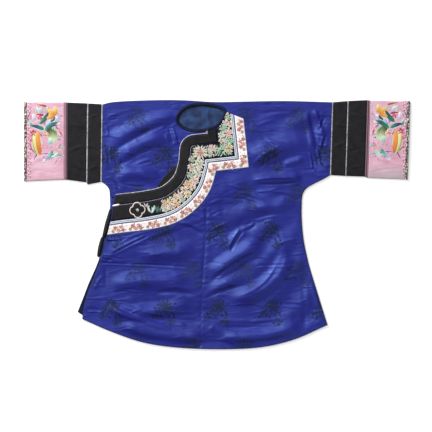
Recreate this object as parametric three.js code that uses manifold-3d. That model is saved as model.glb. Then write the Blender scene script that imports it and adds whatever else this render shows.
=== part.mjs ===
// A Chinese woman's side-fastening jacket of figured blue silk, laid out flat with its front up.
//
// Millimetres, +Z up. The garment lies on the plane Z = 0 with the shoulder fold towards +Y, the wearer's left sleeve
// towards +X, and the origin under the middle of its outline. Each half of the body is one cloth that runs from the
// back hem over the shoulder fold to the front. The wearer's left front is sewn at the centre seam to an overlap that
// crosses to the wearer's right side, and the short underlap of the right half lies hidden below it. Trims follow the
// overlap's edge from the neck to the side. Every sleeve ends in flattened tubes of black satin and embroidered silk.

import * as THREE from "three";
import { mergeVertices } from "three/addons/utils/BufferGeometryUtils.js";
import Module from "manifold-3d";

const wasm = await Module();
wasm.setup();

// ---- Cloth and levels ----

const WALL = 1.8; // silk with its lining
const LINING = 0.8; // the lining or facing alone
const GAP = 0.3; // between pieces at a seam and between cloths that touch
const FRONT_UNDER = WALL + GAP + LINING + GAP; // underside of a front that lies on the lined back
const FRONT_TOP = FRONT_UNDER + WALL;
const OVERLAP_RISE = WALL + GAP; // how far the overlap is lifted by the underlap below it
const SKY = 40; // above every cloth, where cutting prisms end
const FLATNESS = 0.02; // triangles that are this nearly level are joined

const rows = (names, values) =>
  values.map((row) => Object.fromEntries(names.split(" ").map((name, i) => [name, row[i]])));

// ---- Outlines, seen from above ----

// The fold over the shoulders, from the right sleeve's joint to the left sleeve's.
const SHOULDER = rows("x y", [
  [-342, 360.6],
  [-321, 366],
  [-285, 369.5],
  [-171, 373.4],
  [-96, 372.6],
  [-6, 367.4],
  [84, 368.9],
  [204, 370.6],
  [345, 366.8],
]);

// The hem of the front, from the right vent to the left side.
const FRONT_HEM = rows("x y", [
  [-404, -283.5],
  [-321, -319.5],
  [-225, -352.5],
  [-129, -367.7],
  [15, -373.6],
  [135, -367.2],
  [231, -344.5],
  [331, -301],
]);

// The hem of the back. It is a little shorter, and shows only at the right vent.
const BACK_HEM = rows("x y", [
  [-417.6, -262],
  [-396, -276],
  [-321, -308],
  [-225, -341],
  [-129, -358],
  [15, -366],
  [135, -360],
  [231, -337],
  [329.5, -296],
]);

// The left side, from the sleeve's joint through the underarm to the hem.
const LEFT_SIDE = rows("x y", [
  [338.4, 148.2],
  [318, 136.5],
  [288, 121.5],
  [267, 108],
  [256.5, 91],
  [253, 52],
  [254.4, 0],
  [260, -51],
  [274, -115],
  [302, -208],
  [331, -301],
]);

// The right side of the back, from the sleeve's joint through the underarm to the vent's corner.
const RIGHT_SIDE = rows("x y", [
  [-345, 127.8],
  [-334, 120],
  [-323, 105],
  [-321, 80],
  [-321, 50],
  [-327, 20],
  [-334, -8],
  [-341, -40],
  [-348, -70],
  [-352.5, -99],
  [-362, -125.4],
  [-384, -175],
  [-401.4, -220],
  [-417.6, -262],
]);

// The right edge of the overlap, from the trims' upper end to the hem.
const OVERLAP_SIDE = rows("x y", [
  [-302, 100],
  [-313.5, 54],
  [-316.5, 24],
  [-320.5, 6],
  [-327.5, -22],
  [-334, -50],
  [-346.5, -98],
  [-361.5, -138],
  [-384, -195],
  [-399, -245],
  [-404, -283.5],
]);

// The lower edge of the hidden underlap, from the right side to the centre seam.
const UNDERLAP_EDGE = rows("x y", [
  [-340, -100],
  [-297, -76],
  [-223, -42],
  [-126, -6],
  [-30, 28],
]);

// The seam down the middle of the front and of the back.
const CENTRE_SEAM = rows("x y", [
  [-30, 384],
  [-30, 84],
  [-36, -60],
  [-46, -200],
  [-51, -384],
]);

// The edge of the neck opening.
const NECK = rows("x y", [
  [-116, 313],
  [-108, 335],
  [-86, 351],
  [-52, 357],
  [-14, 353.5],
  [20, 341],
  [13, 316],
  [-6, 297],
  [-36, 287],
  [-74, 285.5],
  [-101, 295],
]);

// ---- Trims along the overlap's edge ----

// The trims' own line: down beside the neck, square across to the right, then in an S to the right side.
const TRIM_CORNERS = rows("x y", [
  [-8.1, 349.5],
  [3, 245.7],
  [-78.6, 236.4],
]);
const TRIM_SWEEP = rows("x y", [
  [-83.1, 183.6],
  [-98.4, 135.6],
  [-126.3, 102.9],
  [-158.4, 82.2],
  [-216, 68.4],
  [-291.6, 59.1],
  [-340, 52],
]);
const TRIM_CORNER_RADIUS = 13; // of the trims' line where the sweep begins

// Each trim lies between two distances from that line, measured away from the neck.
const EDGE_OFFSET = -30; // the overlap's cut edge
const TRIMS = rows("name from to thick colour", [
  ["overlap_black_band", EDGE_OFFSET, -GAP, 1, "#232427"],
  ["overlap_fine_piping", 0, 1.8, 1.2, "#b9b4b0"],
  ["embroidered_band", 1.8 + GAP, 45, 1.2, "#6f6f63"],
  ["silver_braid", 45 + GAP, 57, 1.5, "#8e9bb4"],
  ["white_ribbon", 57 + GAP, 85, 1, "#f0e3e2"],
]);
const EDGE_PIPING = { width: 2.8, thick: 1.2, colour: "#dcdbe0" };
const TRIM_TOP_CUT = rows("x y", [
  [26, 338.5],
  [86.4, 314.5],
]); // where the trims are cut off beside the shoulder
const NECK_BINDING = { width: 8.5, overhang: 1.5, thick: 2, split: 0.4 };

// The black facing that peeps out beyond the overlap's edge, as a bulge along the sweep.
const CRESCENT = { start: 190, end: 292, bulge: 19, thick: 0.8 };

// ---- Folds ----

// A fold is a soft ridge along a bowed line: its ends, how far the line bows to its left, its half width and height.
const FOLD_COLUMNS = "x0 y0 x1 y1 bow half height";
const YOKE_FOLDS = rows(FOLD_COLUMNS, [
  [-330, 238, -112, 338, 8, 34, 5],
  [-310, 190, -140, 272, 10, 32, 5],
  [-326, 140, -165, 136, 18, 28, 4],
]);
const FRONT_FOLDS = rows(FOLD_COLUMNS, [
  [60, 200, 290, 268, -8, 40, 3.5],
  [85, 128, 286, 138, 6, 26, 3],
  [92, 44, 238, 74, -6, 32, 4],
  [20, -72, 112, 2, 6, 22, 3],
  [-28, -160, 150, -52, 8, 32, 6],
  [-36, -206, 92, -158, 6, 26, 4.5],
  [28, -232, 222, -66, -38, 34, 6],
  [-340, -258, -72, -236, -14, 30, 3.5],
  [-330, -180, -70, -172, 8, 34, 3],
  [-250, -92, -60, -70, -8, 34, 3],
  [-300, -292, -20, -340, -16, 30, 4],
  [0, -342, 270, -300, -10, 30, 4.5],
]);
const FOLD_TAPER = 60; // length over which a ridge rises from its ends
const FLAT_BORDER = 30; // cloth this near to an outline stays down

// The grid that every front cloth shares, so that cloths and trims above each other never touch.
const CELL = 26;
const GRID = { x0: -438, x1: 354, yTop: 384, y0: 348, y1: -396 };

// ---- Sleeves ----

// Each sleeve ends in tubes, listed from the joint outwards by their outer ends: along the sleeve at the shoulder fold
// and at the underarm fold, and across it at those two folds. proud is how far the tube's front stands above the cloth.
const SLEEVE_COLUMNS = "name xTop xLow yTop yLow proud colour";
const LEFT_JOINT = rows("xTop xLow yTop yLow", [[345, 338.4, 366.8, 148.2]])[0];
const LEFT_SLEEVE = rows(SLEEVE_COLUMNS, [
  ["left_sleeve_inner_piping", 349, 342.2, 367, 148, 0.7, "#c9c7c6"],
  ["left_sleeve_inner_black_band", 391.5, 384.6, 370.5, 145.5, 0, "#25272a"],
  ["left_sleeve_outer_piping", 395.3, 388.2, 370.9, 145.3, 0.7, "#c9c7c6"],
  ["left_sleeve_outer_black_band", 449.4, 442, 373.2, 143.7, 0, "#25272a"],
  ["left_sleeve_plum_braid", 460, 453, 372, 139.5, 0.7, "#5b3046"],
  ["left_sleeve_embroidered_cuff", 571, 563.4, 370, 135, 0.3, "#e6bccb"],
  ["left_sleeve_edge_braid", 579, 571, 370, 134.6, 0.9, "#6d6a5e"],
]);
const RIGHT_JOINT = rows("xTop xLow yTop yLow", [[-342, -345, 360.6, 127.8]])[0];
const RIGHT_SLEEVE = rows(SLEEVE_COLUMNS, [
  ["right_sleeve_inner_piping", -346, -349, 361, 127.6, 0.7, "#c9c7c6"],
  ["right_sleeve_inner_black_band", -385, -388, 363.3, 120, 0, "#25272a"],
  ["right_sleeve_outer_piping", -389, -392, 363.6, 126.4, 0.7, "#c9c7c6"],
  ["right_sleeve_outer_black_band", -446.5, -447.5, 365.9, 134, 0, "#25272a"],
  ["right_sleeve_plum_braid", -457.8, -458, 367, 134.6, 0.7, "#5b3046"],
  ["right_sleeve_embroidered_cuff", -570, -570, 367, 129.6, 0.3, "#ecc4d2"],
  ["right_sleeve_edge_braid", -579, -578.6, 366.6, 129.2, 0.9, "#6d6a5e"],
]);
const SLEEVE = { across: 9, turn: 4, along: 30, loft: 1.6, minHeight: FRONT_TOP };

// ---- Small pieces at the right side ----

// The black binding of the side opening, as short rolls: the centre line, the width and the height.
const SIDE_BINDINGS = rows("name x0 y0 x1 y1 bow width height", [
  ["side_binding_upper", -317.6, 46, -340, -40, 1, 11, 3.6],
  ["side_binding_lower", -341.5, -42, -355.5, -97, 0, 11, 3.6],
]);
const VENT_FACING = { top: -100, width: 26 };
const SIDE_SEAM = { end: -110, width: 2.5 }; // where it ends above the left vent, and how wide the seam is
const YOKE_SEAM_END = 84; // where the seam of back and yoke ends above the right side's opening

const BLUE = "#2f3390";
const FOLDED_CLOTH = { colour: BLUE, roughness: 0.45 };

// ---- Curves and outlines ----

const flat = (p) => new THREE.Vector2(p.x, p.y);

// Points along a smooth curve through the given points, about step apart.
function smooth(points, step = 14, closed = false) {
  const knots = points.map((p) => new THREE.Vector3(p.x, p.y, 0));
  const curve = new THREE.CatmullRomCurve3(knots, closed, "centripetal");
  const pieces = Math.max(2, Math.round(curve.getLength() / step));
  const along = curve.getSpacedPoints(pieces).map(flat);
  if (closed) along.pop();
  return along;
}

// The value of a line's y at x, or of its x at y, by linear interpolation.
function lineAt(points, value, from = "x", to = "y") {
  const ordered = points.slice().sort((a, b) => a[from] - b[from]);
  const last = ordered.length - 1;
  const i = THREE.MathUtils.clamp(
    ordered.findIndex((p) => p[from] > value) - 1,
    0,
    last - 1,
  );
  const k = value >= ordered[last][from] ? last - 1 : i;
  const [a, b] = [ordered[k], ordered[k + 1]];
  return THREE.MathUtils.mapLinear(value, a[from], b[from], a[to], b[to]);
}

// An open line moved sideways to its left by a distance, with mitred corners.
function offsetLine(points, distance) {
  return points.map((p, i) => {
    const before = points[Math.max(0, i - 1)];
    const after = points[Math.min(points.length - 1, i + 1)];
    const along = p.clone().sub(before);
    const onwards = after.clone().sub(p);
    const normals = [along, onwards]
      .filter((d) => d.length() > 0)
      .map((d) => new THREE.Vector2(-d.y, d.x).normalize());
    const [n1, n2] = [normals[0], normals[normals.length - 1]];
    return p.clone().add(n1.clone().add(n2).multiplyScalar(distance / (1 + n1.dot(n2))));
  });
}

// A closed loop moved outwards from its own middle by a distance, square to the loop.
function growLoop(loop, distance) {
  const area = THREE.ShapeUtils.area(loop);
  return loop.map((p, i) => {
    const before = loop[(i + loop.length - 1) % loop.length];
    const after = loop[(i + 1) % loop.length];
    const along = after.clone().sub(before).normalize();
    return p.clone().add(new THREE.Vector2(along.y, -along.x).multiplyScalar(Math.sign(area) * distance));
  });
}

// Replaces the corner at an index by an arc of the given radius.
function roundCorner(points, index, radius, pieces = 6) {
  if (radius <= 0) return points;
  const [a, b, c] = [points[index - 1], points[index], points[index + 1]];
  const toA = a.clone().sub(b).normalize();
  const toC = c.clone().sub(b).normalize();
  const half = toA.angleTo(toC) / 2;
  const reach = radius / Math.tan(half);
  const centre = b.clone().add(toA.clone().add(toC).normalize().multiplyScalar(radius / Math.sin(half)));
  const first = b.clone().add(toA.multiplyScalar(reach)).sub(centre);
  const last = b.clone().add(toC.multiplyScalar(reach)).sub(centre);
  const sweep = Math.atan2(first.x * last.y - first.y * last.x, first.dot(last));
  const arc = Array.from({ length: pieces + 1 }, (_, k) =>
    first.clone().rotateAround(new THREE.Vector2(), (sweep * k) / pieces).add(centre),
  );
  return [...points.slice(0, index), ...arc, ...points.slice(index + 1)];
}

const shoulderLine = smooth(SHOULDER);
const frontHemLine = smooth(FRONT_HEM);
const backHemLine = smooth(BACK_HEM);
const leftSideLine = smooth(LEFT_SIDE);
const rightSideLine = smooth(RIGHT_SIDE);
const overlapSideLine = smooth(OVERLAP_SIDE);
const underlapLine = smooth(UNDERLAP_EDGE);
const neckLoop = smooth(NECK, 12, true);
const trimSweep = smooth(TRIM_SWEEP, 16);
const foldRadius = FRONT_TOP / 2;

const shoulderAt = (x) => lineAt(shoulderLine, x);
const seamAt = (y) => lineAt(CENTRE_SEAM, y, "y", "x");

// The trims' line at a distance from itself. Away from the neck is to the line's left.
function trimLine(distance) {
  const line = [...TRIM_CORNERS.map(flat), ...trimSweep];
  return roundCorner(offsetLine(line, distance), 2, TRIM_CORNER_RADIUS - distance);
}

// ---- Solids ----

// Makes a manifold solid of closed triangles given as positions and faces.
function solidOf(positions, faces) {
  const geometry = new THREE.BufferGeometry();
  geometry.setAttribute("position", new THREE.Float32BufferAttribute(positions, 3));
  geometry.setIndex(faces);
  const merged = mergeVertices(geometry, 1e-4);
  const mesh = new wasm.Mesh({
    numProp: 3,
    vertProperties: merged.attributes.position.array,
    triVerts: new Uint32Array(merged.index.array),
  });
  return new wasm.Manifold(mesh);
}

// An upright prism over a closed plan outline, which cuts cloth to its shape.
function prism(outline, low = -1, high = SKY) {
  const geometry = new THREE.ExtrudeGeometry(new THREE.Shape(outline), {
    depth: high - low,
    bevelEnabled: false,
  });
  geometry.translate(0, 0, low);
  geometry.deleteAttribute("normal");
  geometry.deleteAttribute("uv");
  const merged = mergeVertices(geometry, 1e-4);
  return solidOf(Array.from(merged.attributes.position.array), Array.from(merged.index.array));
}

const steps = (from, to, size) =>
  Array.from({ length: Math.round(Math.abs(to - from) / size) + 1 }, (_, i) => from + Math.sign(to - from) * size * i);
const gridX = steps(GRID.x0, GRID.x1, CELL);
const gridY = [GRID.yTop, ...steps(GRID.y0, GRID.y1, CELL)];

// A wall over the shared grid between two heights, each a function of the place. within limits it to a plan box.
function sheet(under, over, within = { x0: GRID.x0, x1: GRID.x1, y0: GRID.y1, y1: GRID.yTop }) {
  const xs = gridX.filter((x) => x > within.x0 - CELL && x < within.x1 + CELL);
  const ys = gridY.filter((y) => y > within.y0 - CELL && y < within.y1 + 2 * CELL);
  const positions = [under, over].flatMap((height) => ys.flatMap((y) => xs.flatMap((x) => [x, y, height(x, y)])));
  const layer = xs.length * ys.length;
  const at = (row, column, top) => top * layer + row * xs.length + column;
  const faces = [];
  const quad = (a, b, c, d) => faces.push(a, b, c, a, c, d);
  for (let r = 0; r + 1 < ys.length; r++)
    for (let c = 0; c + 1 < xs.length; c++) {
      quad(at(r, c, 1), at(r + 1, c, 1), at(r + 1, c + 1, 1), at(r, c + 1, 1));
      quad(at(r, c, 0), at(r, c + 1, 0), at(r + 1, c + 1, 0), at(r + 1, c, 0));
    }
  for (let c = 0; c + 1 < xs.length; c++) {
    quad(at(0, c, 0), at(0, c, 1), at(0, c + 1, 1), at(0, c + 1, 0));
    const r = ys.length - 1;
    quad(at(r, c + 1, 0), at(r, c + 1, 1), at(r, c, 1), at(r, c, 0));
  }
  for (let r = 0; r + 1 < ys.length; r++) {
    quad(at(r + 1, 0, 0), at(r + 1, 0, 1), at(r, 0, 1), at(r, 0, 0));
    const c = xs.length - 1;
    quad(at(r, c, 0), at(r, c, 1), at(r + 1, c, 1), at(r + 1, c, 0));
  }
  return solidOf(positions, faces);
}

// A solid through rings of points. Each ring is closed, and the two end rings are filled by the given cap triangles.
function loft(rings, cap) {
  const size = rings[0].length;
  const faces = [];
  for (let i = 0; i + 1 < rings.length; i++)
    for (let k = 0; k < size; k++) {
      const [a, b] = [i * size + k, i * size + ((k + 1) % size)];
      faces.push(a, b, b + size, a, b + size, a + size);
    }
  const end = (rings.length - 1) * size;
  for (const [a, b, c] of cap) faces.push(c, b, a, end + a, end + b, end + c);
  return solidOf(rings.flat(2), faces);
}

// Turns a solid right side out if its rings ran the other way, and fails if it is empty.
function outward(rings, cap) {
  const mirrored = rings.map((ring) => ring.slice().reverse());
  const size = rings[0].length;
  const mirroredCap = cap.map((triangle) => triangle.map((k) => size - 1 - k).reverse());
  const made = loft(rings, cap);
  return made.volume() > 0 ? made : loft(mirrored, mirroredCap);
}

// ---- Height of the cloth ----

// The height of one fold at a place: a cosine ridge across, rising smoothly from both ends.
function foldHeight(fold, x, y) {
  const [dx, dy] = [fold.x1 - fold.x0, fold.y1 - fold.y0];
  const length = Math.hypot(dx, dy);
  const along = ((x - fold.x0) * dx + (y - fold.y0) * dy) / length;
  const across = ((y - fold.y0) * dx - (x - fold.x0) * dy) / length;
  const share = THREE.MathUtils.clamp(along / length, 0, 1);
  const off = Math.abs(across - 4 * fold.bow * share * (1 - share)) / fold.half;
  const taper = THREE.MathUtils.smoothstep(Math.min(along, length - along), 0, FOLD_TAPER);
  return off < 1 ? fold.height * taper * 0.5 * (1 + Math.cos(Math.PI * off)) : 0;
}

const foldsHeight = (folds, x, y) => folds.reduce((sum, fold) => sum + foldHeight(fold, x, y), 0);

// How far a place is inside the outline of the whole front, roughly, for cloth that lies down at its borders.
function inside(x, y) {
  const above = y - lineAt(frontHemLine, x);
  const below = GRID.y0 - y;
  const rightwards = x - lineAt(overlapSideLine, Math.min(y, 60), "y", "x");
  const leftwards = lineAt(leftSideLine, Math.min(y, 100), "y", "x") - x;
  const atSleeve = y > 160 ? Math.min(x + 340, 340 - x) : Math.min(rightwards, leftwards);
  return Math.max(0, Math.min(above, below, atSleeve));
}

const settled = (x, y) => THREE.MathUtils.smoothstep(inside(x, y), 0, FLAT_BORDER);

// 1 where the outer front lies on the underlap, easing to 0 beyond the underlap's edge, the seam and the neck.
function onUnderlap(x, y) {
  const { smoothstep } = THREE.MathUtils;
  const pastEdge = lineAt(underlapLine, x) - y;
  return (
    (1 - smoothstep(pastEdge, 1.5 * CELL, 3.5 * CELL)) *
    (1 - smoothstep(x, -30, -30 + 3 * CELL)) *
    (1 - smoothstep(y, 276, 348))
  );
}

const yokeUnder = (x, y) => FRONT_UNDER + settled(x, y) * foldsHeight(YOKE_FOLDS, x, y);
const frontUnder = (x, y) =>
  FRONT_UNDER + OVERLAP_RISE * onUnderlap(x, y) + settled(x, y) * foldsHeight(FRONT_FOLDS, x, y);
const raised = (height, by) => (x, y) => height(x, y) + by;

// ---- The two halves of the body ----

const seamSide = (side) =>
  smooth(CENTRE_SEAM, 60).map((p) => new THREE.Vector2(p.x + (side * GAP) / 2, p.y));
const foldStart = shoulderLine.map((p) => new THREE.Vector2(p.x, p.y - foldRadius));

// Part of an open line whose points satisfy a test.
const part = (line, test) => line.filter(test);

// The plan outline of one half, below the start of the shoulder fold.
function halfOutline(side, sideLine, hemLine) {
  const seam = seamSide(side);
  const beyond = (p) => (side > 0 ? p.x > seamAt(p.y) + 1 : p.x < seamAt(p.y) - 1);
  const foldX = seam[0].x;
  const hemX = lineAt(seam, lineAt(hemLine, foldX), "y", "x");
  const top = part(foldStart, beyond).sort((a, b) => side * (a.x - b.x));
  const bottom = part(hemLine, beyond).sort((a, b) => side * (b.x - a.x));
  return [
    new THREE.Vector2(foldX, shoulderAt(foldX) - foldRadius),
    ...top,
    ...sideLine,
    ...bottom.slice(1),
    new THREE.Vector2(hemX, lineAt(hemLine, hemX)),
    ...part(seam, (p) => p.y < 340 && p.y > lineAt(hemLine, p.x) + 8).reverse(),
  ];
}

// The roll of cloth over the shoulder between two places along X, with short flaps that join it to front and back.
function shoulderRoll(xFrom, xTo) {
  const flap = 5;
  const turns = steps(-90, 90, 30).map((angle) => THREE.MathUtils.degToRad(angle));
  const pieces = Math.round((xTo - xFrom) / CELL);
  const rings = Array.from({ length: pieces + 1 }, (_, i) => {
    const x = THREE.MathUtils.lerp(xFrom, xTo, i / pieces);
    const y = shoulderAt(x) - foldRadius;
    const arc = (radius) => turns.map((a) => [x, y + radius * Math.cos(a), foldRadius + radius * Math.sin(a)]);
    const outer = [[x, y - flap, 0], ...arc(foldRadius), [x, y - flap, FRONT_TOP]];
    const inner = [[x, y - flap, WALL], ...arc(foldRadius - WALL), [x, y - flap, FRONT_UNDER]];
    return [...outer, ...inner.reverse()];
  });
  const size = rings[0].length;
  const cap = Array.from({ length: size / 2 - 1 }, (_, k) => {
    const [a, b, c, d] = [k, k + 1, size - 2 - k, size - 1 - k];
    return [
      [a, b, c],
      [a, c, d],
    ];
  }).flat();
  return outward(rings, cap);
}

const neckHole = prism(neckLoop, FRONT_UNDER - LINING);
const neckSurround = prism(growLoop(neckLoop, NECK_BINDING.width + GAP));

// The side seam, which joins front and back from the sleeve's joint down to the vent.
function sideSeam(sideLine, inwards, end) {
  const closed = part(sideLine, (p) => p.y > end);
  const inner = offsetLine(closed, inwards * SIDE_SEAM.width);
  return prism([...closed, ...inner.reverse()], WALL / 2, FRONT_UNDER + WALL / 2);
}

function leftHalf() {
  const seamX = CENTRE_SEAM[0].x + GAP / 2;
  const front = sheet(frontUnder, raised(frontUnder, WALL)).intersect(
    prism(halfOutline(1, leftSideLine, frontHemLine)),
  );
  const back = prism(halfOutline(1, [...leftSideLine.slice(0, -1), flat(BACK_HEM.at(-1))], backHemLine), 0, WALL);
  return front
    .add(back)
    .add(sideSeam(leftSideLine, -1, SIDE_SEAM.end))
    .add(shoulderRoll(seamX, LEFT_JOINT.xTop))
    .subtract(neckHole);
}

function rightHalf() {
  const seamX = CENTRE_SEAM[0].x - GAP / 2;
  const yokeSide = [...part(rightSideLine, (p) => p.y > 56), ...overlapSideLine.filter((p) => p.y < 50 && p.y > -90)];
  const outline = halfOutline(-1, yokeSide, underlapLine);
  const yoke = sheet(yokeUnder, raised(yokeUnder, WALL)).intersect(prism(outline));
  const back = prism(halfOutline(-1, rightSideLine, backHemLine), 0, WALL);
  return yoke
    .add(back)
    .add(sideSeam(rightSideLine, 1, YOKE_SEAM_END))
    .add(shoulderRoll(RIGHT_JOINT.xTop, seamX))
    .subtract(neckHole);
}

// ---- The overlap and what lies on it ----

// Everything on the neck's side of the trims' line at a distance, as a prism.
const neckSideOf = (distance) => {
  const line = trimLine(distance);
  return prism([...line, new THREE.Vector2(line.at(-1).x, 420), new THREE.Vector2(line[0].x, 420)]);
};

function overlapFront() {
  const seam = seamSide(-1);
  const hemX = lineAt(seam, -370, "y", "x");
  const outline = [
    new THREE.Vector2(seam[0].x, 300),
    new THREE.Vector2(-330, 300),
    ...overlapSideLine,
    ...part(frontHemLine, (p) => p.x < hemX - 4).slice(1),
    new THREE.Vector2(hemX, lineAt(frontHemLine, hemX)),
    ...part(seam, (p) => p.y < 290 && p.y > -366).reverse(),
  ];
  return sheet(frontUnder, raised(frontUnder, WALL), { x0: -410, x1: -28, y0: -380, y1: 290 })
    .intersect(prism(outline))
    .subtract(neckSideOf(EDGE_OFFSET))
    .subtract(neckSurround);
}

// Where trims may lie: right of the overlap's side edge and below the cut beside the shoulder, clear of the neck.
function trimField() {
  const side = part(overlapSideLine, (p) => p.y > -60).map((p) => new THREE.Vector2(p.x + 1, p.y));
  const [a, b] = TRIM_TOP_CUT.map(flat);
  const cut = b.clone().sub(a).normalize().multiplyScalar(120);
  const field = [a.clone().sub(cut), ...side, new THREE.Vector2(160, -60), b.clone().add(cut)];
  return prism(field).subtract(neckSurround);
}

const TRIM_BOX = { x0: -345, x1: 130, y0: -60, y1: 345 };
const band = (from, to) => prism([...trimLine(from), ...trimLine(to).reverse()]);

function trimPiece(trim, field) {
  const under = raised(frontUnder, WALL + GAP);
  return sheet(under, raised(under, trim.thick), TRIM_BOX)
    .intersect(band(trim.from, trim.to))
    .intersect(field);
}

// The round piping on the overlap's cut edge, which rests on the yoke.
function edgePiping(field) {
  const outer = EDGE_OFFSET - GAP;
  return sheet(frontUnder, raised(frontUnder, WALL + EDGE_PIPING.thick), TRIM_BOX)
    .intersect(band(outer - EDGE_PIPING.width, outer))
    .intersect(field)
    .intersect(prism([flat({ x: -400, y: -60 }), flat({ x: -30.6, y: -60 }), flat({ x: -30.6, y: 300 }), flat({ x: -400, y: 300 })]));
}

// The facing that shows beyond the piping, a crescent between the piping and a curve bulging towards the sleeve.
function edgeFacing() {
  const line = trimLine(EDGE_OFFSET - 2 * GAP - EDGE_PIPING.width);
  const lengths = line.map((p, i) => (i ? p.distanceTo(line[i - 1]) : 0));
  let run = 0;
  const stations = line.map((p, i) => ({ p, run: (run += lengths[i]) }));
  const shown = stations.filter((s) => s.run > CRESCENT.start && s.run < CRESCENT.end);
  const span = shown.at(-1).run - shown[0].run;
  const inner = shown.map((s) => s.p);
  const outer = offsetLine(inner, -1).map((p, i) => {
    const share = (shown[i].run - shown[0].run) / span;
    const reach = CRESCENT.bulge * Math.sin(Math.PI * share) + 1;
    return inner[i].clone().lerp(p, reach);
  });
  const under = raised(yokeUnder, WALL + GAP);
  return sheet(under, raised(under, CRESCENT.thick), TRIM_BOX).intersect(prism([...inner, ...outer.reverse()]));
}

// The binding round the neck's edge: its wearer's left part lies on the left front, the rest on the yoke.
function neckBinding() {
  const ring = prism(growLoop(neckLoop, NECK_BINDING.width)).subtract(prism(growLoop(neckLoop, -NECK_BINDING.overhang)));
  const box = { x0: -140, x1: 50, y0: 270, y1: 370 };
  const seamX = CENTRE_SEAM[0].x;
  const strip = (height, x0, x1) => {
    const under = raised(height, WALL + GAP);
    return sheet(under, raised(under, NECK_BINDING.thick), box)
      .intersect(ring)
      .intersect(prism([flat({ x: x0, y: 250 }), flat({ x: x1, y: 250 }), flat({ x: x1, y: 380 }), flat({ x: x0, y: 380 })]));
  };
  const split = NECK_BINDING.split;
  const opening = prism([
    flat({ x: seamX - split, y: 250 }),
    flat({ x: seamX + GAP, y: 250 }),
    flat({ x: seamX + GAP, y: 320 }),
    flat({ x: seamX - split, y: 320 }),
  ]);
  return strip(yokeUnder, -160, seamX + GAP).add(strip(frontUnder, seamX, 60)).subtract(opening);
}

// The back's lining where it shows through the neck.
const neckLining = () => prism(growLoop(neckLoop, 4), WALL + GAP, WALL + GAP + LINING);

// The dark facing along the back's edge at the right vent.
function ventFacing() {
  const edge = part(rightSideLine, (p) => p.y < VENT_FACING.top);
  const inner = edge.map((p) => new THREE.Vector2(p.x + VENT_FACING.width, p.y));
  const corner = flat(BACK_HEM[0]);
  const foot = part(backHemLine, (p) => p.x < corner.x + VENT_FACING.width && p.x > corner.x);
  return prism([...edge, ...foot, ...inner.reverse().slice(1)], WALL + GAP, WALL + GAP + LINING);
}

// A soft roll along a bowed line, half round on top and flat below, resting on the back.
function sideRoll(roll) {
  const [a, b] = [new THREE.Vector2(roll.x0, roll.y0), new THREE.Vector2(roll.x1, roll.y1)];
  const along = b.clone().sub(a);
  const across = new THREE.Vector2(-along.y, along.x).normalize();
  const pieces = 8;
  const arc = steps(0, 180, 30).map((angle) => THREE.MathUtils.degToRad(angle));
  const rings = Array.from({ length: pieces + 1 }, (_, i) => {
    const share = i / pieces;
    const centre = a.clone().lerp(b, share).addScaledVector(across, 4 * roll.bow * share * (1 - share));
    const full = 0.6 + 0.4 * Math.sin(Math.PI * share);
    return arc.map((t) => {
      const p = centre.clone().addScaledVector(across, (full * roll.width * Math.cos(t)) / 2);
      return [p.x, p.y, WALL + GAP + full * roll.height * Math.sin(t)];
    });
  });
  const cap = Array.from({ length: arc.length - 2 }, (_, k) => [0, k + 1, k + 2]);
  return outward(rings, cap);
}

// ---- Sleeve tubes ----

// A flattened tube between two ends. Its back lies on the floor and its front is lofted a little between the folds.
function sleeveTube(from, to) {
  const side = Math.sign(to.xTop - from.xTop);
  const start = { ...from, xTop: from.xTop + side * GAP, xLow: from.xLow + side * GAP };
  const high = SLEEVE.minHeight + to.proud;
  const pieces = Math.max(1, Math.round(Math.abs(to.xTop - start.xTop) / SLEEVE.along));
  const turns = steps(-90, 90, 180 / SLEEVE.turn).map((angle) => THREE.MathUtils.degToRad(angle));
  const section = (end, inset) => {
    const radius = high / 2 - inset;
    const [top, low] = [end.yTop - high / 2, end.yLow + high / 2];
    const point = (y, z) => [THREE.MathUtils.mapLinear(y, end.yLow, end.yTop, end.xLow, end.xTop), y, z];
    const front = Array.from({ length: SLEEVE.across }, (_, k) => {
      const share = (k + 1) / (SLEEVE.across + 1);
      return point(THREE.MathUtils.lerp(top, low, share), high - inset + SLEEVE.loft * Math.sin(Math.PI * share));
    });
    return [
      ...turns.map((a) => point(top + radius * Math.cos(a), high / 2 + radius * Math.sin(a))),
      ...front,
      ...turns.map((a) => point(low - radius * Math.cos(a), high / 2 - radius * Math.sin(a))),
    ];
  };
  const ends = Array.from({ length: pieces + 1 }, (_, i) => {
    const mix = (key) => THREE.MathUtils.lerp(start[key], to[key], i / pieces);
    return { xTop: mix("xTop"), xLow: mix("xLow"), yTop: mix("yTop"), yLow: mix("yLow") };
  });
  const outer = ends.map((end) => section(end, 0));
  const inner = ends.map((end) => section(end, WALL));
  const size = outer[0].length;
  const layer = outer.length * size;
  const faces = [];
  const quad = (a, b, c, d) => faces.push(a, b, c, a, c, d);
  const last = outer.length - 1;
  for (let k = 0; k < size; k++) {
    const next = (k + 1) % size;
    for (let i = 0; i < last; i++) {
      const [a, b] = [i * size, (i + 1) * size];
      quad(a + k, a + next, b + next, b + k);
      quad(layer + a + next, layer + a + k, layer + b + k, layer + b + next);
    }
    quad(k, layer + k, layer + next, next);
    quad(last * size + next, layer + last * size + next, layer + last * size + k, last * size + k);
  }
  if (side < 0) for (let i = 0; i < faces.length; i += 3) [faces[i], faces[i + 1]] = [faces[i + 1], faces[i]];
  return solidOf([...outer, ...inner].flat(2), faces);
}

// ---- Assembly ----

const jacket = new THREE.Group();
jacket.name = "jacket";

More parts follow.
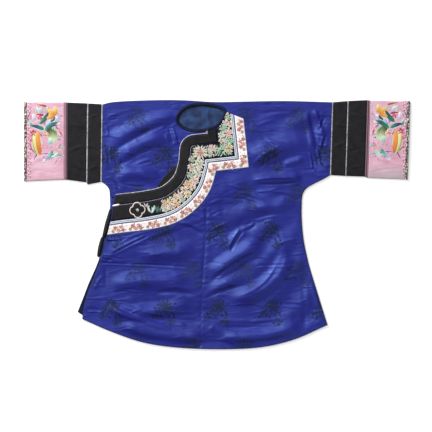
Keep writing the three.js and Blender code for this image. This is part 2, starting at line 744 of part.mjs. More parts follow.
function add(name, solid, { colour, roughness = 0.6 }) {
  const mesh = solid.simplify(FLATNESS).getMesh();
  const positions = new Float32Array(mesh.numVert * 3);
  for (let i = 0; i < mesh.numVert; i++)
    positions.set(mesh.vertProperties.subarray(i * mesh.numProp, i * mesh.numProp + 3), i * 3);
  const geometry = new THREE.BufferGeometry();
  geometry.setAttribute("position", new THREE.BufferAttribute(positions, 3));
  geometry.setIndex(new THREE.BufferAttribute(mesh.triVerts, 1));
  geometry.computeVertexNormals();
  const piece = new THREE.Mesh(geometry, new THREE.MeshStandardMaterial({ color: colour, roughness, metalness: 0 }));
  piece.name = name;
  jacket.add(piece);
}

add("left_half", leftHalf(), FOLDED_CLOTH);
add("right_half", rightHalf(), FOLDED_CLOTH);
add("overlap_front", overlapFront(), FOLDED_CLOTH);
add("neck_lining", neckLining(), { colour: "#2c4470" });
add("neck_binding", neckBinding(), { colour: "#141c30" });
add("vent_facing", ventFacing(), { colour: "#10182c" });

const field = trimField();
for (const trim of TRIMS) add(trim.name, trimPiece(trim, field), { colour: trim.colour });
add("overlap_edge_piping", edgePiping(field), { colour: EDGE_PIPING.colour });
add("overlap_edge_facing", edgeFacing(), { colour: "#26281f" });

for (const roll of SIDE_BINDINGS) add(roll.name, sideRoll(roll), { colour: "#1f201d" });

for (const [joint, tubes] of [
  [LEFT_JOINT, LEFT_SLEEVE],
  [RIGHT_JOINT, RIGHT_SLEEVE],
])
  tubes.forEach((tube, i) => add(tube.name, sleeveTube(i ? tubes[i - 1] : joint, tube), { colour: tube.colour }));

export default jacket;
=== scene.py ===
"""A Chinese woman's side-fastening jacket of figured blue silk, laid out flat with its front up.

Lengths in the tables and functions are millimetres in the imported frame: +X to the wearer's left sleeve, +Y to the
shoulder fold, +Z up. Every cloth is a thin shell over its solid: a function of two parameters on a grid, with its
edges turned under. The cloths share one height function, so whatever lies on a cloth follows its creases.
"""

import math

import bpy
import numpy as np
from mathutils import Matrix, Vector


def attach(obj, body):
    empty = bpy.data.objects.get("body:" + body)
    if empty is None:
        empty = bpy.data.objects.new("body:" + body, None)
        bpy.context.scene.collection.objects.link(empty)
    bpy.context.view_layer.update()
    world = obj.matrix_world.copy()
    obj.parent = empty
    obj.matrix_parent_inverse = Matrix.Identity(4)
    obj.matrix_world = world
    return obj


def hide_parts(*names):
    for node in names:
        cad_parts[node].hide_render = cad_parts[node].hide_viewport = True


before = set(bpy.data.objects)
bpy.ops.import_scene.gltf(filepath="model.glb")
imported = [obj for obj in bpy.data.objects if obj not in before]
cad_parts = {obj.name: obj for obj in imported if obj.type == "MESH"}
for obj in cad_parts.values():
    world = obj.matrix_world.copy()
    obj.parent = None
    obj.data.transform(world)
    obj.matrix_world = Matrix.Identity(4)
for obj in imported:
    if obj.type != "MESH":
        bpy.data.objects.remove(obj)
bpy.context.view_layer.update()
MM = 0.001

# ---- Cloth and levels, as in the solids ----

WALL = 1.8
LINING = 0.8
GAP = 0.3
FRONT_TOP = 2 * (WALL + GAP) + LINING  # the back, the linings and the front, one on the other
OVERLAP_RISE = WALL + GAP
FOLD_RADIUS = FRONT_TOP / 2
SHELL = 1.2  # thickness that a turned edge shows
CELL = 2.6  # spacing of the points of a cloth

# ---- Outlines, seen from above, as x y ----

SHOULDER = [(-342, 360.6), (-321, 366), (-285, 369.5), (-171, 373.4), (-96, 372.6), (-6, 367.4), (84, 368.9),
            (204, 370.6), (345, 366.8)]
FRONT_HEM = [(-404, -283.5), (-321, -319.5), (-225, -352.5), (-129, -367.7), (15, -373.6), (135, -367.2),
             (231, -344.5), (331, -301)]
BACK_HEM = [(-417.6, -262), (-396, -276), (-321, -308), (-225, -341), (-129, -358), (15, -366), (135, -360),
            (231, -337), (329.5, -296)]
LEFT_SIDE = [(338.4, 148.2), (318, 136.5), (288, 121.5), (267, 108), (256.5, 91), (253, 52), (254.4, 0),
             (260, -51), (274, -115), (302, -208), (331, -301)]
RIGHT_SIDE = [(-345, 127.8), (-334, 120), (-323, 105), (-321, 80), (-321, 50), (-327, 20), (-334, -8), (-341, -40),
              (-348, -70), (-352.5, -99), (-362, -125.4), (-384, -175), (-401.4, -220), (-417.6, -262)]
OVERLAP_SIDE = [(-302, 100), (-313.5, 54), (-316.5, 24), (-320.5, 6), (-327.5, -22), (-334, -50), (-346.5, -98),
                (-361.5, -138), (-384, -195), (-399, -245), (-404, -283.5)]
UNDERLAP_EDGE = [(-340, -100), (-297, -76), (-223, -42), (-126, -6), (-30, 28)]
CENTRE_SEAM = [(-30, 384), (-30, 84), (-36, -60), (-46, -200), (-51, -384)]
NECK = [(-116, 313), (-108, 335), (-86, 351), (-52, 357), (-14, 353.5), (20, 341), (13, 316), (-6, 297),
        (-36, 287), (-74, 285.5), (-101, 295)]
# The sleeves' joints: x at the shoulder fold and at the underarm fold, y at both.
LEFT_JOINT = (345, 338.4, 366.8, 148.2)
RIGHT_JOINT = (-342, -345, 360.6, 127.8)

# The trims' own line, and each trim's reach from it: away from the neck counts up.
TRIM_CORNERS = [(-8.1, 349.5), (3, 245.7), (-78.6, 236.4)]
TRIM_SWEEP = [(-83.1, 183.6), (-98.4, 135.6), (-126.3, 102.9), (-158.4, 82.2), (-216, 68.4), (-291.6, 59.1),
              (-340, 52)]
TRIM_CORNER_RADIUS = 13
TRIM_TOP_CUT = [(26, 338.5), (86.4, 314.5)]
EDGE_OFFSET = -30
NECK_BINDING_WIDTH = 8.5
TRIM_END_OFFSET = 85
RAIL_COUNTS = (60, 44, 14, 16, 190)  # points of a rail's five runs

# ---- Folds: ends, bow to the left, half width, height ----

YOKE_FOLDS = [
    (-330, 238, -112, 338, 8, 38, 5),
    (-310, 190, -140, 272, 10, 36, 5),
    (-326, 140, -165, 136, 18, 32, 4.5),
]
FRONT_FOLDS = [
    (60, 200, 290, 268, -8, 44, 4.5),
    (85, 128, 286, 138, 6, 26, 3),
    (92, 44, 238, 74, -6, 32, 4),
    (20, -72, 112, 2, 6, 22, 3),
    (-28, -160, 150, -52, 8, 36, 6),
    (-36, -206, 92, -158, 6, 26, 4.5),
    (28, -232, 222, -66, -38, 38, 6),
    (-340, -258, -72, -236, -14, 34, 4.5),
    (-330, -180, -70, -172, 8, 36, 4),
    (-250, -92, -60, -70, -8, 36, 4),
    (-300, -292, -20, -340, -16, 34, 5),
    (0, -342, 270, -300, -10, 34, 5.5),
]
FOLD_TAPER = 60
FOLD_RISE = 1.6  # the shell's folds stand a little higher than the solid's
CREASE_RISE = 1.6
FLAT_BORDER = 30

# Fine creases on top of the folds. A negative height is a trough. The last number is the taper at the ends.
YOKE_CREASES = [
    (-318, 214, -142, 308, 6, 12, -1.6, 50),
    (-306, 166, -170, 238, 8, 11, -1.4, 40),
    (-146, 292, -130, 240, 0, 4, -1.3, 14),
    (-136, 296, -122, 250, 2, 3.4, 1.1, 14),
    (-155, 276, -142, 236, 0, 3.4, 0.9, 14),
    (-120, 268, -104, 226, -2, 4, -1.0, 14),
    (-338, 142, -298, 103, 3, 4, 1.2, 10),
    (-333, 150, -292, 108, 3, 4, -1.2, 10),
    (-330, 322, -300, 330, 2, 4, 0.9, 10),
    (-328, 314, -296, 318, -2, 4, -0.8, 10),
    (-334, 230, -322, 180, 2, 5, -1.0, 18),
    (-322, 236, -314, 190, -2, 4, 0.8, 16),
    (-336, 300, -326, 262, 2, 4, 0.8, 14),
    (-300, 292, -262, 300, 2, 6, -0.8, 16),
    (-262, 268, -236, 244, 2, 5, 0.8, 12),
    (-215, 340, -150, 352, 2, 6, -0.8, 25),
    (-290, 124, -210, 116, -6, 6, -1.0, 25),
    (-250, 176, -190, 196, 4, 7, 0.9, 25),
    (-240, 214, -205, 232, 3, 5, -0.8, 14),
]
FRONT_CREASES = [
    # right chest, beyond the ribbon's corner
    (103, 172, 198, 236, 10, 9, 1.0, 30),
    (118, 160, 206, 212, 8, 6, -0.5, 30),
    (196, 180, 262, 196, 0, 16, 2.0, 20),
    (135, 268, 204, 240, -6, 7, 0.9, 26),
    (142, 254, 212, 224, -5, 6, -0.7, 26),
    (100, 132, 262, 140, 5, 6, 1.3, 40),
    (104, 122, 250, 128, -4, 6, -1.1, 40),
    (150, 98, 240, 84, 6, 7, 1.0, 30),
    (110, 100, 190, 112, -5, 6, 0.9, 26),
    (60, 96, 150, 64, 8, 7, 1.2, 26),
    (52, 82, 132, 50, 6, 6, -1.1, 26),
    (30, 120, 90, 92, 6, 6, 0.9, 20),
    (120, 330, 230, 340, 3, 9, -0.9, 40),
    (120, 296, 180, 312, 4, 6, 0.8, 24),
    # a hollow down before the left sleeve, and the crumpled cloth between it and the joint
    (264, 340, 286, 216, 2, 12, 1.0, 30),
    (277, 344, 303, 213, 2, 9, -1.6, 30),
    (290, 350, 318, 262, 2, 10, 1.8, 24),
    (316, 330, 301, 280, 1, 4, 0.9, 12),
    (322, 322, 308, 278, 0, 4, -0.8, 12),
    (321, 274, 309, 226, -1, 4, 1.0, 12),
    (328, 270, 316, 224, 0, 4, -0.9, 12),
    (300, 238, 314, 172, -2, 4, 1.1, 14),
    (293, 236, 305, 180, -2, 4, -1.0, 14),
    (287, 236, 309, 194, 2, 4, 0.9, 14),
    (277, 222, 287, 160, 1, 4, 0.9, 14),
    (283, 214, 293, 160, 1, 4, -0.8, 14),
    (300, 330, 330, 322, 2, 4, 0.9, 9),
    (298, 302, 332, 300, -2, 4, -0.8, 9),
    (296, 272, 330, 266, 3, 4, 0.9, 9),
    (304, 240, 334, 238, -2, 4, 0.8, 9),
    (302, 212, 332, 206, 2, 4, -0.8, 9),
    (310, 190, 336, 168, 2, 4, 0.9, 9),
    (262, 190, 300, 150, 5, 6, 1.0, 16),
    (230, 120, 262, 100, 3, 6, -1.0, 12),
    # down the left front
    (33, -77, 70, -12, 4, 6, 1.7, 18),
    (40, -84, 82, -16, 4, 7, -1.6, 18),
    (70, -12, 116, 8, -4, 6, 1.5, 16),
    (74, -22, 118, 0, -4, 6, -1.2, 16),
    (112, 8, 190, 26, 4, 6, 0.9, 26),
    (-20, -20, 36, 6, 3, 6, 0.9, 18),
    (-24, 24, 30, 44, 3, 5, -0.8, 16),
    (-22, 62, 20, 74, 2, 5, 0.9, 14),
    (-20, 40, 20, 34, -2, 5, 0.8, 14),
    (-26, -48, 10, -34, 2, 5, -0.8, 12),
    (-20, -172, 130, -78, 8, 9, -1.7, 40),
    (-38, -222, 80, -180, 4, 9, -1.4, 36),
    (85, -205, 206, -78, -26, 14, -0.8, 40),
    (60, -214, 180, -110, -22, 8, 1.0, 36),
    (117, -124, 236, -119, 0, 3.6, -0.9, 12),
    (117, -129, 236, -124, 0, 3.6, 0.6, 12),
    (-46, -112, 40, -124, 3, 5, -0.6, 26),
    (180, -60, 246, -44, 4, 6, 0.8, 20),
    (170, -160, 262, -150, -4, 8, 0.9, 26),
    (160, -236, 290, -252, 4, 9, -1.0, 36),
    (0, -306, 228, -302, -9, 12, -1.9, 60),
    (-10, -286, 220, -280, -6, 9, 0.8, 60),
    (40, -352, 200, -340, -4, 7, -0.7, 36),
    # the pressed edge of the side's facing
    (256, -150, 262, -320, 2, 12, -0.55, 40),
    (284, -170, 306, -262, 2, 14, 1.2, 24),
    # the overlap below the ribbon
    (-335, -246, -130, -316, -4, 15, 2.2, 40),
    (-316, -91, -204, -35, 2, 4, -1.1, 20),
    (-318, -84, -208, -29, 2, 4, 0.8, 20),
    (-334, -52, -304, -50, 0, 4, -1.3, 8),
    (-334, -118, -336, -200, 1, 9, -0.5, 24),
    (-351, -114, -262, -119, 0, 3.6, -1.0, 14),
    (-262, -119, -88, -128, 2, 3.6, -1.0, 20),
    (-351, -120, -88, -134, 2, 3.6, 0.6, 30),
    (-347, -99, -316, -109, 0, 4.5, -1.7, 9),
    (-300, -60, -160, -8, 8, 8, 0.8, 40),
    (-130, -2, -44, -34, 8, 8, -1.3, 24),
    (-124, 8, -40, -22, 8, 7, 1.0, 24),
    (-100, 30, -46, 12, 5, 6, -0.9, 16),
    (-60, 62, -38, 30, 3, 5, 0.9, 10),
    (-320, -30, -270, -24, 3, 6, -0.9, 16),
    (-290, -150, -200, -142, 4, 7, 0.8, 30),
    (-210, -152, -120, -146, -3, 6, -0.8, 26),
    (-316, -206, -226, -196, 5, 9, -0.9, 36),
    (-200, -206, -56, -214, 7, 10, -1.4, 44),
    (-170, -190, -60, -196, 5, 8, 0.9, 36),
    (-326, -222, -226, -272, -10, 12, -2.0, 44),
    (-236, -268, -40, -290, -8, 13, -2.2, 50),
    (-210, -250, -60, -262, -5, 9, 0.9, 40),
    (-372, -200, -340, -150, 3, 7, 0.8, 20),
    (-384, -250, -350, -262, 2, 7, -0.9, 14),
]
SLEEVE_CREASES = [
    (352, 300, 386, 292, 2, 5, 0.7, 10),
    (350, 230, 390, 246, 3, 6, 0.8, 10),
    (396, 330, 446, 318, 3, 7, 0.8, 14),
    (394, 214, 444, 228, 4, 6, -0.7, 14),
    (398, 168, 440, 176, 2, 6, 0.6, 10),
    (462, 330, 540, 300, 6, 10, 0.7, 20),
    (470, 210, 560, 178, -6, 9, 0.8, 20),
    (464, 158, 560, 168, 3, 6, -0.6, 16),
    (-384, 318, -350, 330, 2, 6, 0.7, 10),
    (-386, 230, -352, 214, 3, 6, -0.7, 10),
    (-386, 160, -356, 176, 3, 6, 0.8, 10),
    (-444, 300, -394, 288, 3, 8, 0.8, 14),
    (-446, 216, -396, 236, 4, 7, 0.7, 14),
    (-442, 172, -392, 150, 4, 7, -0.8, 14),
    (-566, 182, -462, 214, 6, 10, 0.8, 20),
    (-560, 300, -470, 336, -6, 9, 0.6, 20),
    (-560, 160, -480, 150, 4, 7, -0.6, 16),
]

# ---- Curves ----


def catmull(points, closed=False, per=32):
    """A centripetal Catmull-Rom curve: knots at sums of square roots of the chords, blended in three levels."""
    p = np.asarray(points, float)
    p = np.vstack([p[-1], p, p[0], p[1]]) if closed else np.vstack([2 * p[0] - p[1], p, 2 * p[-1] - p[-2]])
    t = np.concatenate([[0], np.cumsum(np.linalg.norm(np.diff(p, axis=0), axis=1) ** 0.5)])
    runs = []
    for i in range(1, len(p) - 2):
        u = np.linspace(t[i], t[i + 1], per, endpoint=False)[:, None]

        def blend(a, b, ta, tb):
            return (a * (tb - u) + b * (u - ta)) / (tb - ta)

        first = [blend(p[k], p[k + 1], t[k], t[k + 1]) for k in (i - 1, i, i + 1)]
        second = [blend(first[k], first[k + 1], t[i - 1 + k], t[i + 1 + k]) for k in (0, 1)]
        runs.append(blend(second[0], second[1], t[i], t[i + 1]))
    return np.vstack([*runs, p[-2][None]])


def run_lengths(line):
    """The length along a line up to each of its points."""
    return np.concatenate([[0], np.cumsum(np.linalg.norm(np.diff(line, axis=0), axis=1))])


def spaced(line, count):
    """count points at equal lengths along a line."""
    line = np.asarray(line, float)
    run = run_lengths(line)
    at = np.linspace(0, run[-1], count)
    return np.stack([np.interp(at, run, line[:, k]) for k in range(line.shape[1])], axis=1)


def line_at(line, value, source=0, target=1):
    """The line's y at x, or its x at y, held at its ends."""
    order = np.argsort(line[:, source])
    return np.interp(value, line[order, source], line[order, target])


def leftwards(steps):
    """The unit vector to the left of each step."""
    return np.stack([-steps[:, 1], steps[:, 0]], axis=1) / np.linalg.norm(steps, axis=1)[:, None]


def moved(line, distance):
    """An open line moved to its left by a distance, with mitred corners."""
    normal = leftwards(np.diff(line, axis=0))
    before = np.vstack([normal[:1], normal])
    after = np.vstack([normal, normal[-1:]])
    return line + distance * (before + after) / (1 + (before * after).sum(axis=1))[:, None]


def grown(loop, distance):
    """A closed loop that runs clockwise, moved outwards by a distance square to itself."""
    return loop + distance * leftwards(np.roll(loop, -1, axis=0) - np.roll(loop, 1, axis=0))


def within(loop, x, y):
    """True where a place lies inside a closed loop, by counting the sides that a ray to the right crosses."""
    inside = np.zeros(np.shape(x), bool)
    for (x0, y0), (x1, y1) in zip(loop, np.roll(loop, -1, axis=0)):
        if y0 != y1:
            inside ^= ((y0 > y) != (y1 > y)) & (x < (x1 - x0) * (y - y0) / (y1 - y0) + x0)
    return inside


def smoothstep(value, low, high):
    """0 below low, 1 above high, and 3t² - 2t³ between them."""
    share = np.clip((value - low) / (high - low), 0, 1)
    return share * share * (3 - 2 * share)


shoulder, front_hem, back_hem, left_side, right_side, overlap_side, underlap_edge = map(
    catmull, (SHOULDER, FRONT_HEM, BACK_HEM, LEFT_SIDE, RIGHT_SIDE, OVERLAP_SIDE, UNDERLAP_EDGE))
centre_seam = np.array(CENTRE_SEAM, float)
neck = spaced(catmull(NECK, closed=True), 181)[:-1]
trim_base = np.vstack([TRIM_CORNERS, spaced(catmull(TRIM_SWEEP), 140)])

# ---- Height of the cloth ----


def ridges(table, x, y, taper=None):
    """The sum of soft ridges: a raised cosine across a bowed line, rising smoothly from both ends."""
    total = np.zeros(np.shape(x))
    for row in table:
        x0, y0, x1, y1, bow, half, height = row[:7]
        rise = row[7] if taper is None else taper
        length = math.hypot(x1 - x0, y1 - y0)
        along = ((x - x0) * (x1 - x0) + (y - y0) * (y1 - y0)) / length
        across = ((y - y0) * (x1 - x0) - (x - x0) * (y1 - y0)) / length
        share = np.clip(along / length, 0, 1)
        off = np.abs(across - 4 * bow * share * (1 - share)) / half
        end = smoothstep(np.minimum(along, length - along), 0, rise)
        total += np.where(off < 1, height * end * 0.5 * (1 + np.cos(np.pi * off)), 0)
    return total


def inside_front(x, y):
    """How far a place of the front lies inside its hem, its sides and the shoulder's roll, and 0 beyond them."""
    from_right = x - line_at(overlap_side, np.minimum(y, 60), 1, 0)
    from_left = line_at(left_side, np.minimum(y, 100), 1, 0) - x
    sides = np.where(y > 160, np.minimum(x + 340, 340 - x), np.minimum(from_right, from_left))
    return np.maximum(0, np.minimum(np.minimum(y - line_at(front_hem, x), 348 - y), sides))


def crumple(x, y, reach):
    """Faint uneven slack: a few sine waves of unrelated length and direction, multiplied in pairs."""
    first = np.sin(x / 19.3 + 1.7 * np.sin(y / 31.1)) * np.sin(y / 23.9 + 1.3 * np.sin(x / 37.7))
    second = np.sin((x + 1.6 * y) / 13.7 + np.sin(x / 17.9)) * np.sin((1.4 * x - y) / 15.1 + np.sin(y / 21.3))
    return reach * (0.6 * first + 0.4 * second)


def slack(x, y, reach):
    """Broad soft waves of slack, level on the right side of the body and climbing to the left sleeve on the other: a
    sine of y less a share of x, bent by two slower sines, and fading in and out."""
    lean = 0.35 + 0.3 * np.tanh(x / 150)
    phase = (y - lean * x) / 17 + 1.4 * np.sin(x / 83 + 0.7) + 0.8 * np.sin(y / 57)
    return reach * np.sin(phase) * (0.55 + 0.45 * np.sin(x / 61 + y / 97))


def seam_dip(x, y):
    """The front sinks a little to the seam down its middle, with puckers each 20 mm or so beside it."""
    off = np.abs(x - line_at(centre_seam, y, 1, 0))
    pucker = 0.5 * np.sin(y / 3.1 + np.sin(y / 9.0)) * np.exp(-((off / 14) ** 2)) * smoothstep(off, 2, 6)
    depth = 0.6 + 0.5 * np.sin(y / 23 + 1.3 * np.sin(y / 41))
    return -depth * np.exp(-((off / (3.0 + 2.0 * depth)) ** 2)) + pucker


def on_underlap(x, y):
    """1 where the outer front lies on the hidden underlap, easing to 0 beyond its edge, the seam and the neck."""
    past_edge = line_at(underlap_edge, x) - y
    return (1 - smoothstep(past_edge, 2, 18)) * (1 - smoothstep(x, -30, 42)) * (1 - smoothstep(y, 276, 348))


def yoke_top(x, y):
    """The height of the yoke: folds and slack, clear of its border, with fine creases on them."""
    settled = smoothstep(inside_front(x, y), 0, FLAT_BORDER)
    fine = smoothstep(inside_front(x, y), 0, 9)
    detail = CREASE_RISE * ridges(YOKE_CREASES, x, y) + crumple(x, y, 0.45)
    clear = smoothstep(trim_distance(x, y), 0, 30)
    fold = settled * (FOLD_RISE * ridges(YOKE_FOLDS, x, y, FOLD_TAPER) + clear * slack(x, y, 2.0))
    return FRONT_TOP + fold + fine * np.maximum(detail, -1.4 - 0.2 * fold)


def front_top(x, y):
    """The height of the front, the same way: it sinks at the centre seam, and lies flatter under the trims."""
    settled = smoothstep(inside_front(x, y), 0, FLAT_BORDER)
    fine = smoothstep(inside_front(x, y), 0, 9)
    under_trims = smoothstep(trim_distance(x, y), 0, 12)
    seam = seam_dip(x, y) * smoothstep(-y, -262, -240)
    detail = under_trims * (CREASE_RISE * ridges(FRONT_CREASES, x, y) + seam) + crumple(x, y, 0.45)
    clear = smoothstep(trim_distance(x, y), 0, 40)
    rise = 1 + (FOLD_RISE - 1) * clear
    fold = settled * (rise * ridges(FRONT_FOLDS, x, y, FOLD_TAPER) + clear * slack(x, y, 2.0))
    return FRONT_TOP + OVERLAP_RISE * on_underlap(x, y) + fold + fine * np.maximum(detail, -1.6 - 0.2 * fold)


# ---- The trims' line ----


def rail(distance):
    """The trims' line moved by a distance, in runs of fixed counts: down beside the neck, across, round the corner,
    down to the sweep, and along the sweep to the side edge. It starts clear of the neck and below the top's cut."""
    whole = moved(trim_base, distance)
    a, b, c, d = whole[:4]
    start = np.linspace(a, b, 500)
    cut_from, cut_to = np.array(TRIM_TOP_CUT)
    above = (start - cut_from) @ leftwards((cut_to - cut_from)[None])[0] > 0
    blocked = above | within(grown(neck, NECK_BINDING_WIDTH + GAP), start[:, 0], start[:, 1])
    first = start[np.flatnonzero(blocked)[-1] + 1] if blocked.any() else a
    # the corner's arc: its centre lies on the line that halves the angle
    to_b, to_d = ((end - c) / np.linalg.norm(end - c) for end in (b, d))
    half = math.acos(np.clip(to_b @ to_d, -1, 1)) / 2
    radius = max(TRIM_CORNER_RADIUS - distance, 0.2)
    centre = c + (to_b + to_d) / np.linalg.norm(to_b + to_d) * radius / math.sin(half)
    spoke, last_spoke = (c + to * radius / math.tan(half) - centre for to in (to_b, to_d))
    square = np.array([-spoke[1], spoke[0]])
    turn = np.linspace(0, math.atan2(square @ last_spoke, spoke @ last_spoke), RAIL_COUNTS[2])[:, None]
    arc = centre + spoke * np.cos(turn) + square * np.sin(turn)
    # the sweep ends 1 mm inside the overlap's side
    sweep = whole[3:]
    past = line_at(overlap_side, sweep[:, 1], 1, 0) + 1 - sweep[:, 0]
    last = np.flatnonzero(np.append(past[:-1] > 0, True))[0]
    share = -past[last - 1] / max(past[last] - past[last - 1], 1e-6)
    crossing = sweep[last - 1] + (sweep[last] - sweep[last - 1]) * share
    return np.vstack([
        np.linspace(first, b, RAIL_COUNTS[0], endpoint=False),
        np.linspace(b, arc[0], RAIL_COUNTS[1], endpoint=False),
        arc[:-1],
        np.linspace(arc[-1], d, RAIL_COUNTS[3], endpoint=False),
        spaced(np.vstack([sweep[:last], crossing]), RAIL_COUNTS[4]),
    ])


TRIM_MARKS = 110  # points of each side of the trims that distances are measured to
AT_ONCE = 20000  # places measured at a time

trim_sides = [rail(TRIM_END_OFFSET), rail(EDGE_OFFSET)]
trim_region = np.vstack([trim_sides[1], trim_sides[0][::-1]])


def trim_distance(x, y):
    """How far a place lies outside the trims, which press the cloth flat: 0 under them."""
    places = np.stack([np.ravel(x), np.ravel(y)], axis=1)
    edge = np.vstack([spaced(side, TRIM_MARKS) for side in trim_sides])
    blocks = np.array_split(places, len(places) // AT_ONCE + 1)
    near = np.concatenate([((block[:, None] - edge) ** 2).sum(axis=2).min(axis=1) for block in blocks]) ** 0.5
    near[within(trim_region, places[:, 0], places[:, 1])] = 0
    return near.reshape(np.shape(x))


# ---- Meshes ----


def grid_faces(rows, columns, wrap=False, flip=False):
    """Quads between the neighbours of a grid of rows and columns, joined across the columns' ends if wrap."""
    index = np.arange(rows * columns).reshape(rows, columns)
    across = np.hstack([index, index[:, :1]]) if wrap else index
    quads = np.stack([across[:-1, :-1], across[1:, :-1], across[1:, 1:], across[:-1, 1:]], axis=-1).reshape(-1, 4)
    return quads[:, ::-1] if flip else quads


def make_piece(name, points, faces, material, uv=None, tint=None):
    """A mesh object from points in millimetres and quads, with smooth shading, and with what its points hold."""
    points = np.asarray(points, float).reshape(-1, 3)
    used = np.zeros(len(points), bool)
    used[faces.ravel()] = True
    faces = (np.cumsum(used) - 1)[faces]
    mesh = bpy.data.meshes.new(name)
    mesh.from_pydata((points[used] * MM).tolist(), [], faces.tolist(), shade_flat=False)
    if uv is not None:
        layer = mesh.uv_layers.new(name="UVMap")
        layer.data.foreach_set("uv", np.asarray(uv, float).reshape(-1, 2)[used][faces.ravel()].ravel())
    if tint is not None:
        layer = mesh.color_attributes.new("tint", "FLOAT_COLOR", "POINT")
        colours = np.pad(tint.reshape(-1, 3)[used], ((0, 0), (0, 1)), constant_values=1)
        layer.data.foreach_set("color", colours.ravel())
    mesh.validate()
    piece = bpy.data.objects.new(name, mesh)
    bpy.context.scene.collection.objects.link(piece)
    mesh.materials.append(material)
    return piece


def grid_piece(name, grid, material, wrap=False, flip=False, **layers):
    """The mesh object of a whole grid of points."""
    return make_piece(name, grid, grid_faces(*grid.shape[:2], wrap, flip), material, **layers)


def lifted(plan, height):
    """Places on the plan with their height: a number, or a function of x and y."""
    z = height(plan[..., 0], plan[..., 1]) if callable(height) else np.full(plan.shape[:-1], float(height))
    return np.concatenate([plan, z[..., None]], axis=-1)


def coons(top, bottom, left, right):
    """A patch between four edges: the ruled surface each way, less the one through the corners alone."""
    u = np.linspace(0, 1, len(top))[None, :, None]
    v = np.linspace(0, 1, len(left))[:, None, None]
    across = (1 - v) * top[None] + v * bottom[None]
    down = (1 - u) * left[:, None] + u * right[:, None]
    corners = (1 - v) * ((1 - u) * top[0] + u * top[-1]) + v * ((1 - u) * bottom[0] + u * bottom[-1])
    return across + down - corners


# Sides of a grid: the axis, and the way in from that side.
FIRST_ROW, LAST_ROW, FIRST_COLUMN, LAST_COLUMN = (0, 1), (0, -1), (1, 1), (1, -1)
ROLL_OUT = 0.35


def turn_under(grid, *sides, thickness=SHELL, reach=4, down=None):
    """Adds a rolled edge to some sides: half the thickness down, then all of it, then back under the cloth. down is
    -1 where the cloth's outer side faces up, and 1 where it faces the floor."""
    down = np.full(grid.shape[:2], -1.0) if down is None else down
    for axis, way in sides:
        rows = np.moveaxis(grid, axis, 0)[::way]
        fall = np.moveaxis(down, axis, 0)[::way]
        drop = fall[..., None] * [0, 0, thickness]
        out = rows[0] - rows[1]
        size = np.linalg.norm(out, axis=-1, keepdims=True)
        out = np.where(size > 1e-9, out / np.maximum(size, 1e-9), 0)
        rolled = [rows[reach] + drop[reach], rows[0] + drop[0], rows[0] + drop[0] / 2 + out * ROLL_OUT]
        grid = np.moveaxis(np.concatenate([rolled, rows])[::way], 0, axis)
        down = np.moveaxis(np.concatenate([fall[:1]] * 3 + [fall])[::way], 0, axis)
    return grid


# ---- The two halves and the overlap ----

# Width and height of the cloths that CELL divides, and the places where they end.
HALF_SIZE = (345, 720)
YOKE_SHARE = 0.62  # of a half's height that the yoke reaches down
BACK_ROWS = 96
OVERLAP_SIZE = (300, 620)
OVERLAP_TOP = 281
SEAM_AT_HEM = (-45, -366)
FOLD_POINTS = 11  # points round the half circle of a folded edge
# width of the painted shade along the cloth's edges: full within 1 mm, none past 5 mm
EDGE_SHADE_WIDTH = (1.0, 5.0)


def seam_line(side, y_from, y_to, count):
    """The centre seam between two heights, half a gap to one side."""
    y = np.linspace(y_from, y_to, count)
    return np.stack([line_at(centre_seam, y, 1, 0) + side * GAP / 2, y], axis=1)


def hem_part(line, x_from, x_to, count):
    """The part of a hem between two places along X, from the first to the second."""
    kept = line[(line[:, 0] > min(x_from, x_to)) & (line[:, 0] < max(x_from, x_to))]
    kept = kept[np.argsort(kept[:, 0] * np.sign(x_to - x_from))]
    ends = [[x_from, line_at(line, x_from)], [x_to, line_at(line, x_to)]]
    return spaced(np.vstack([ends[:1], kept, ends[1:]]), count)


def painted_edge_shade(x, y, side_edge, side_top):
    """Painted shade along the cloth's rounded edges, where they turn from the light: 1 at the hem, the shoulder fold
    and the side edge below side_top, easing to 0 within 5 mm of them, for each of the three channels of a tint."""
    from_fold = np.minimum(y - line_at(front_hem, x), line_at(shoulder, x) - y)
    from_side = np.where(y < side_top, np.abs(x - line_at(side_edge, y, 1, 0)), np.inf)
    wear_and_edge_shade = 1 - smoothstep(np.minimum(from_fold, from_side), *EDGE_SHADE_WIDTH)
    return np.repeat(wear_and_edge_shade[..., None], 3, axis=-1)


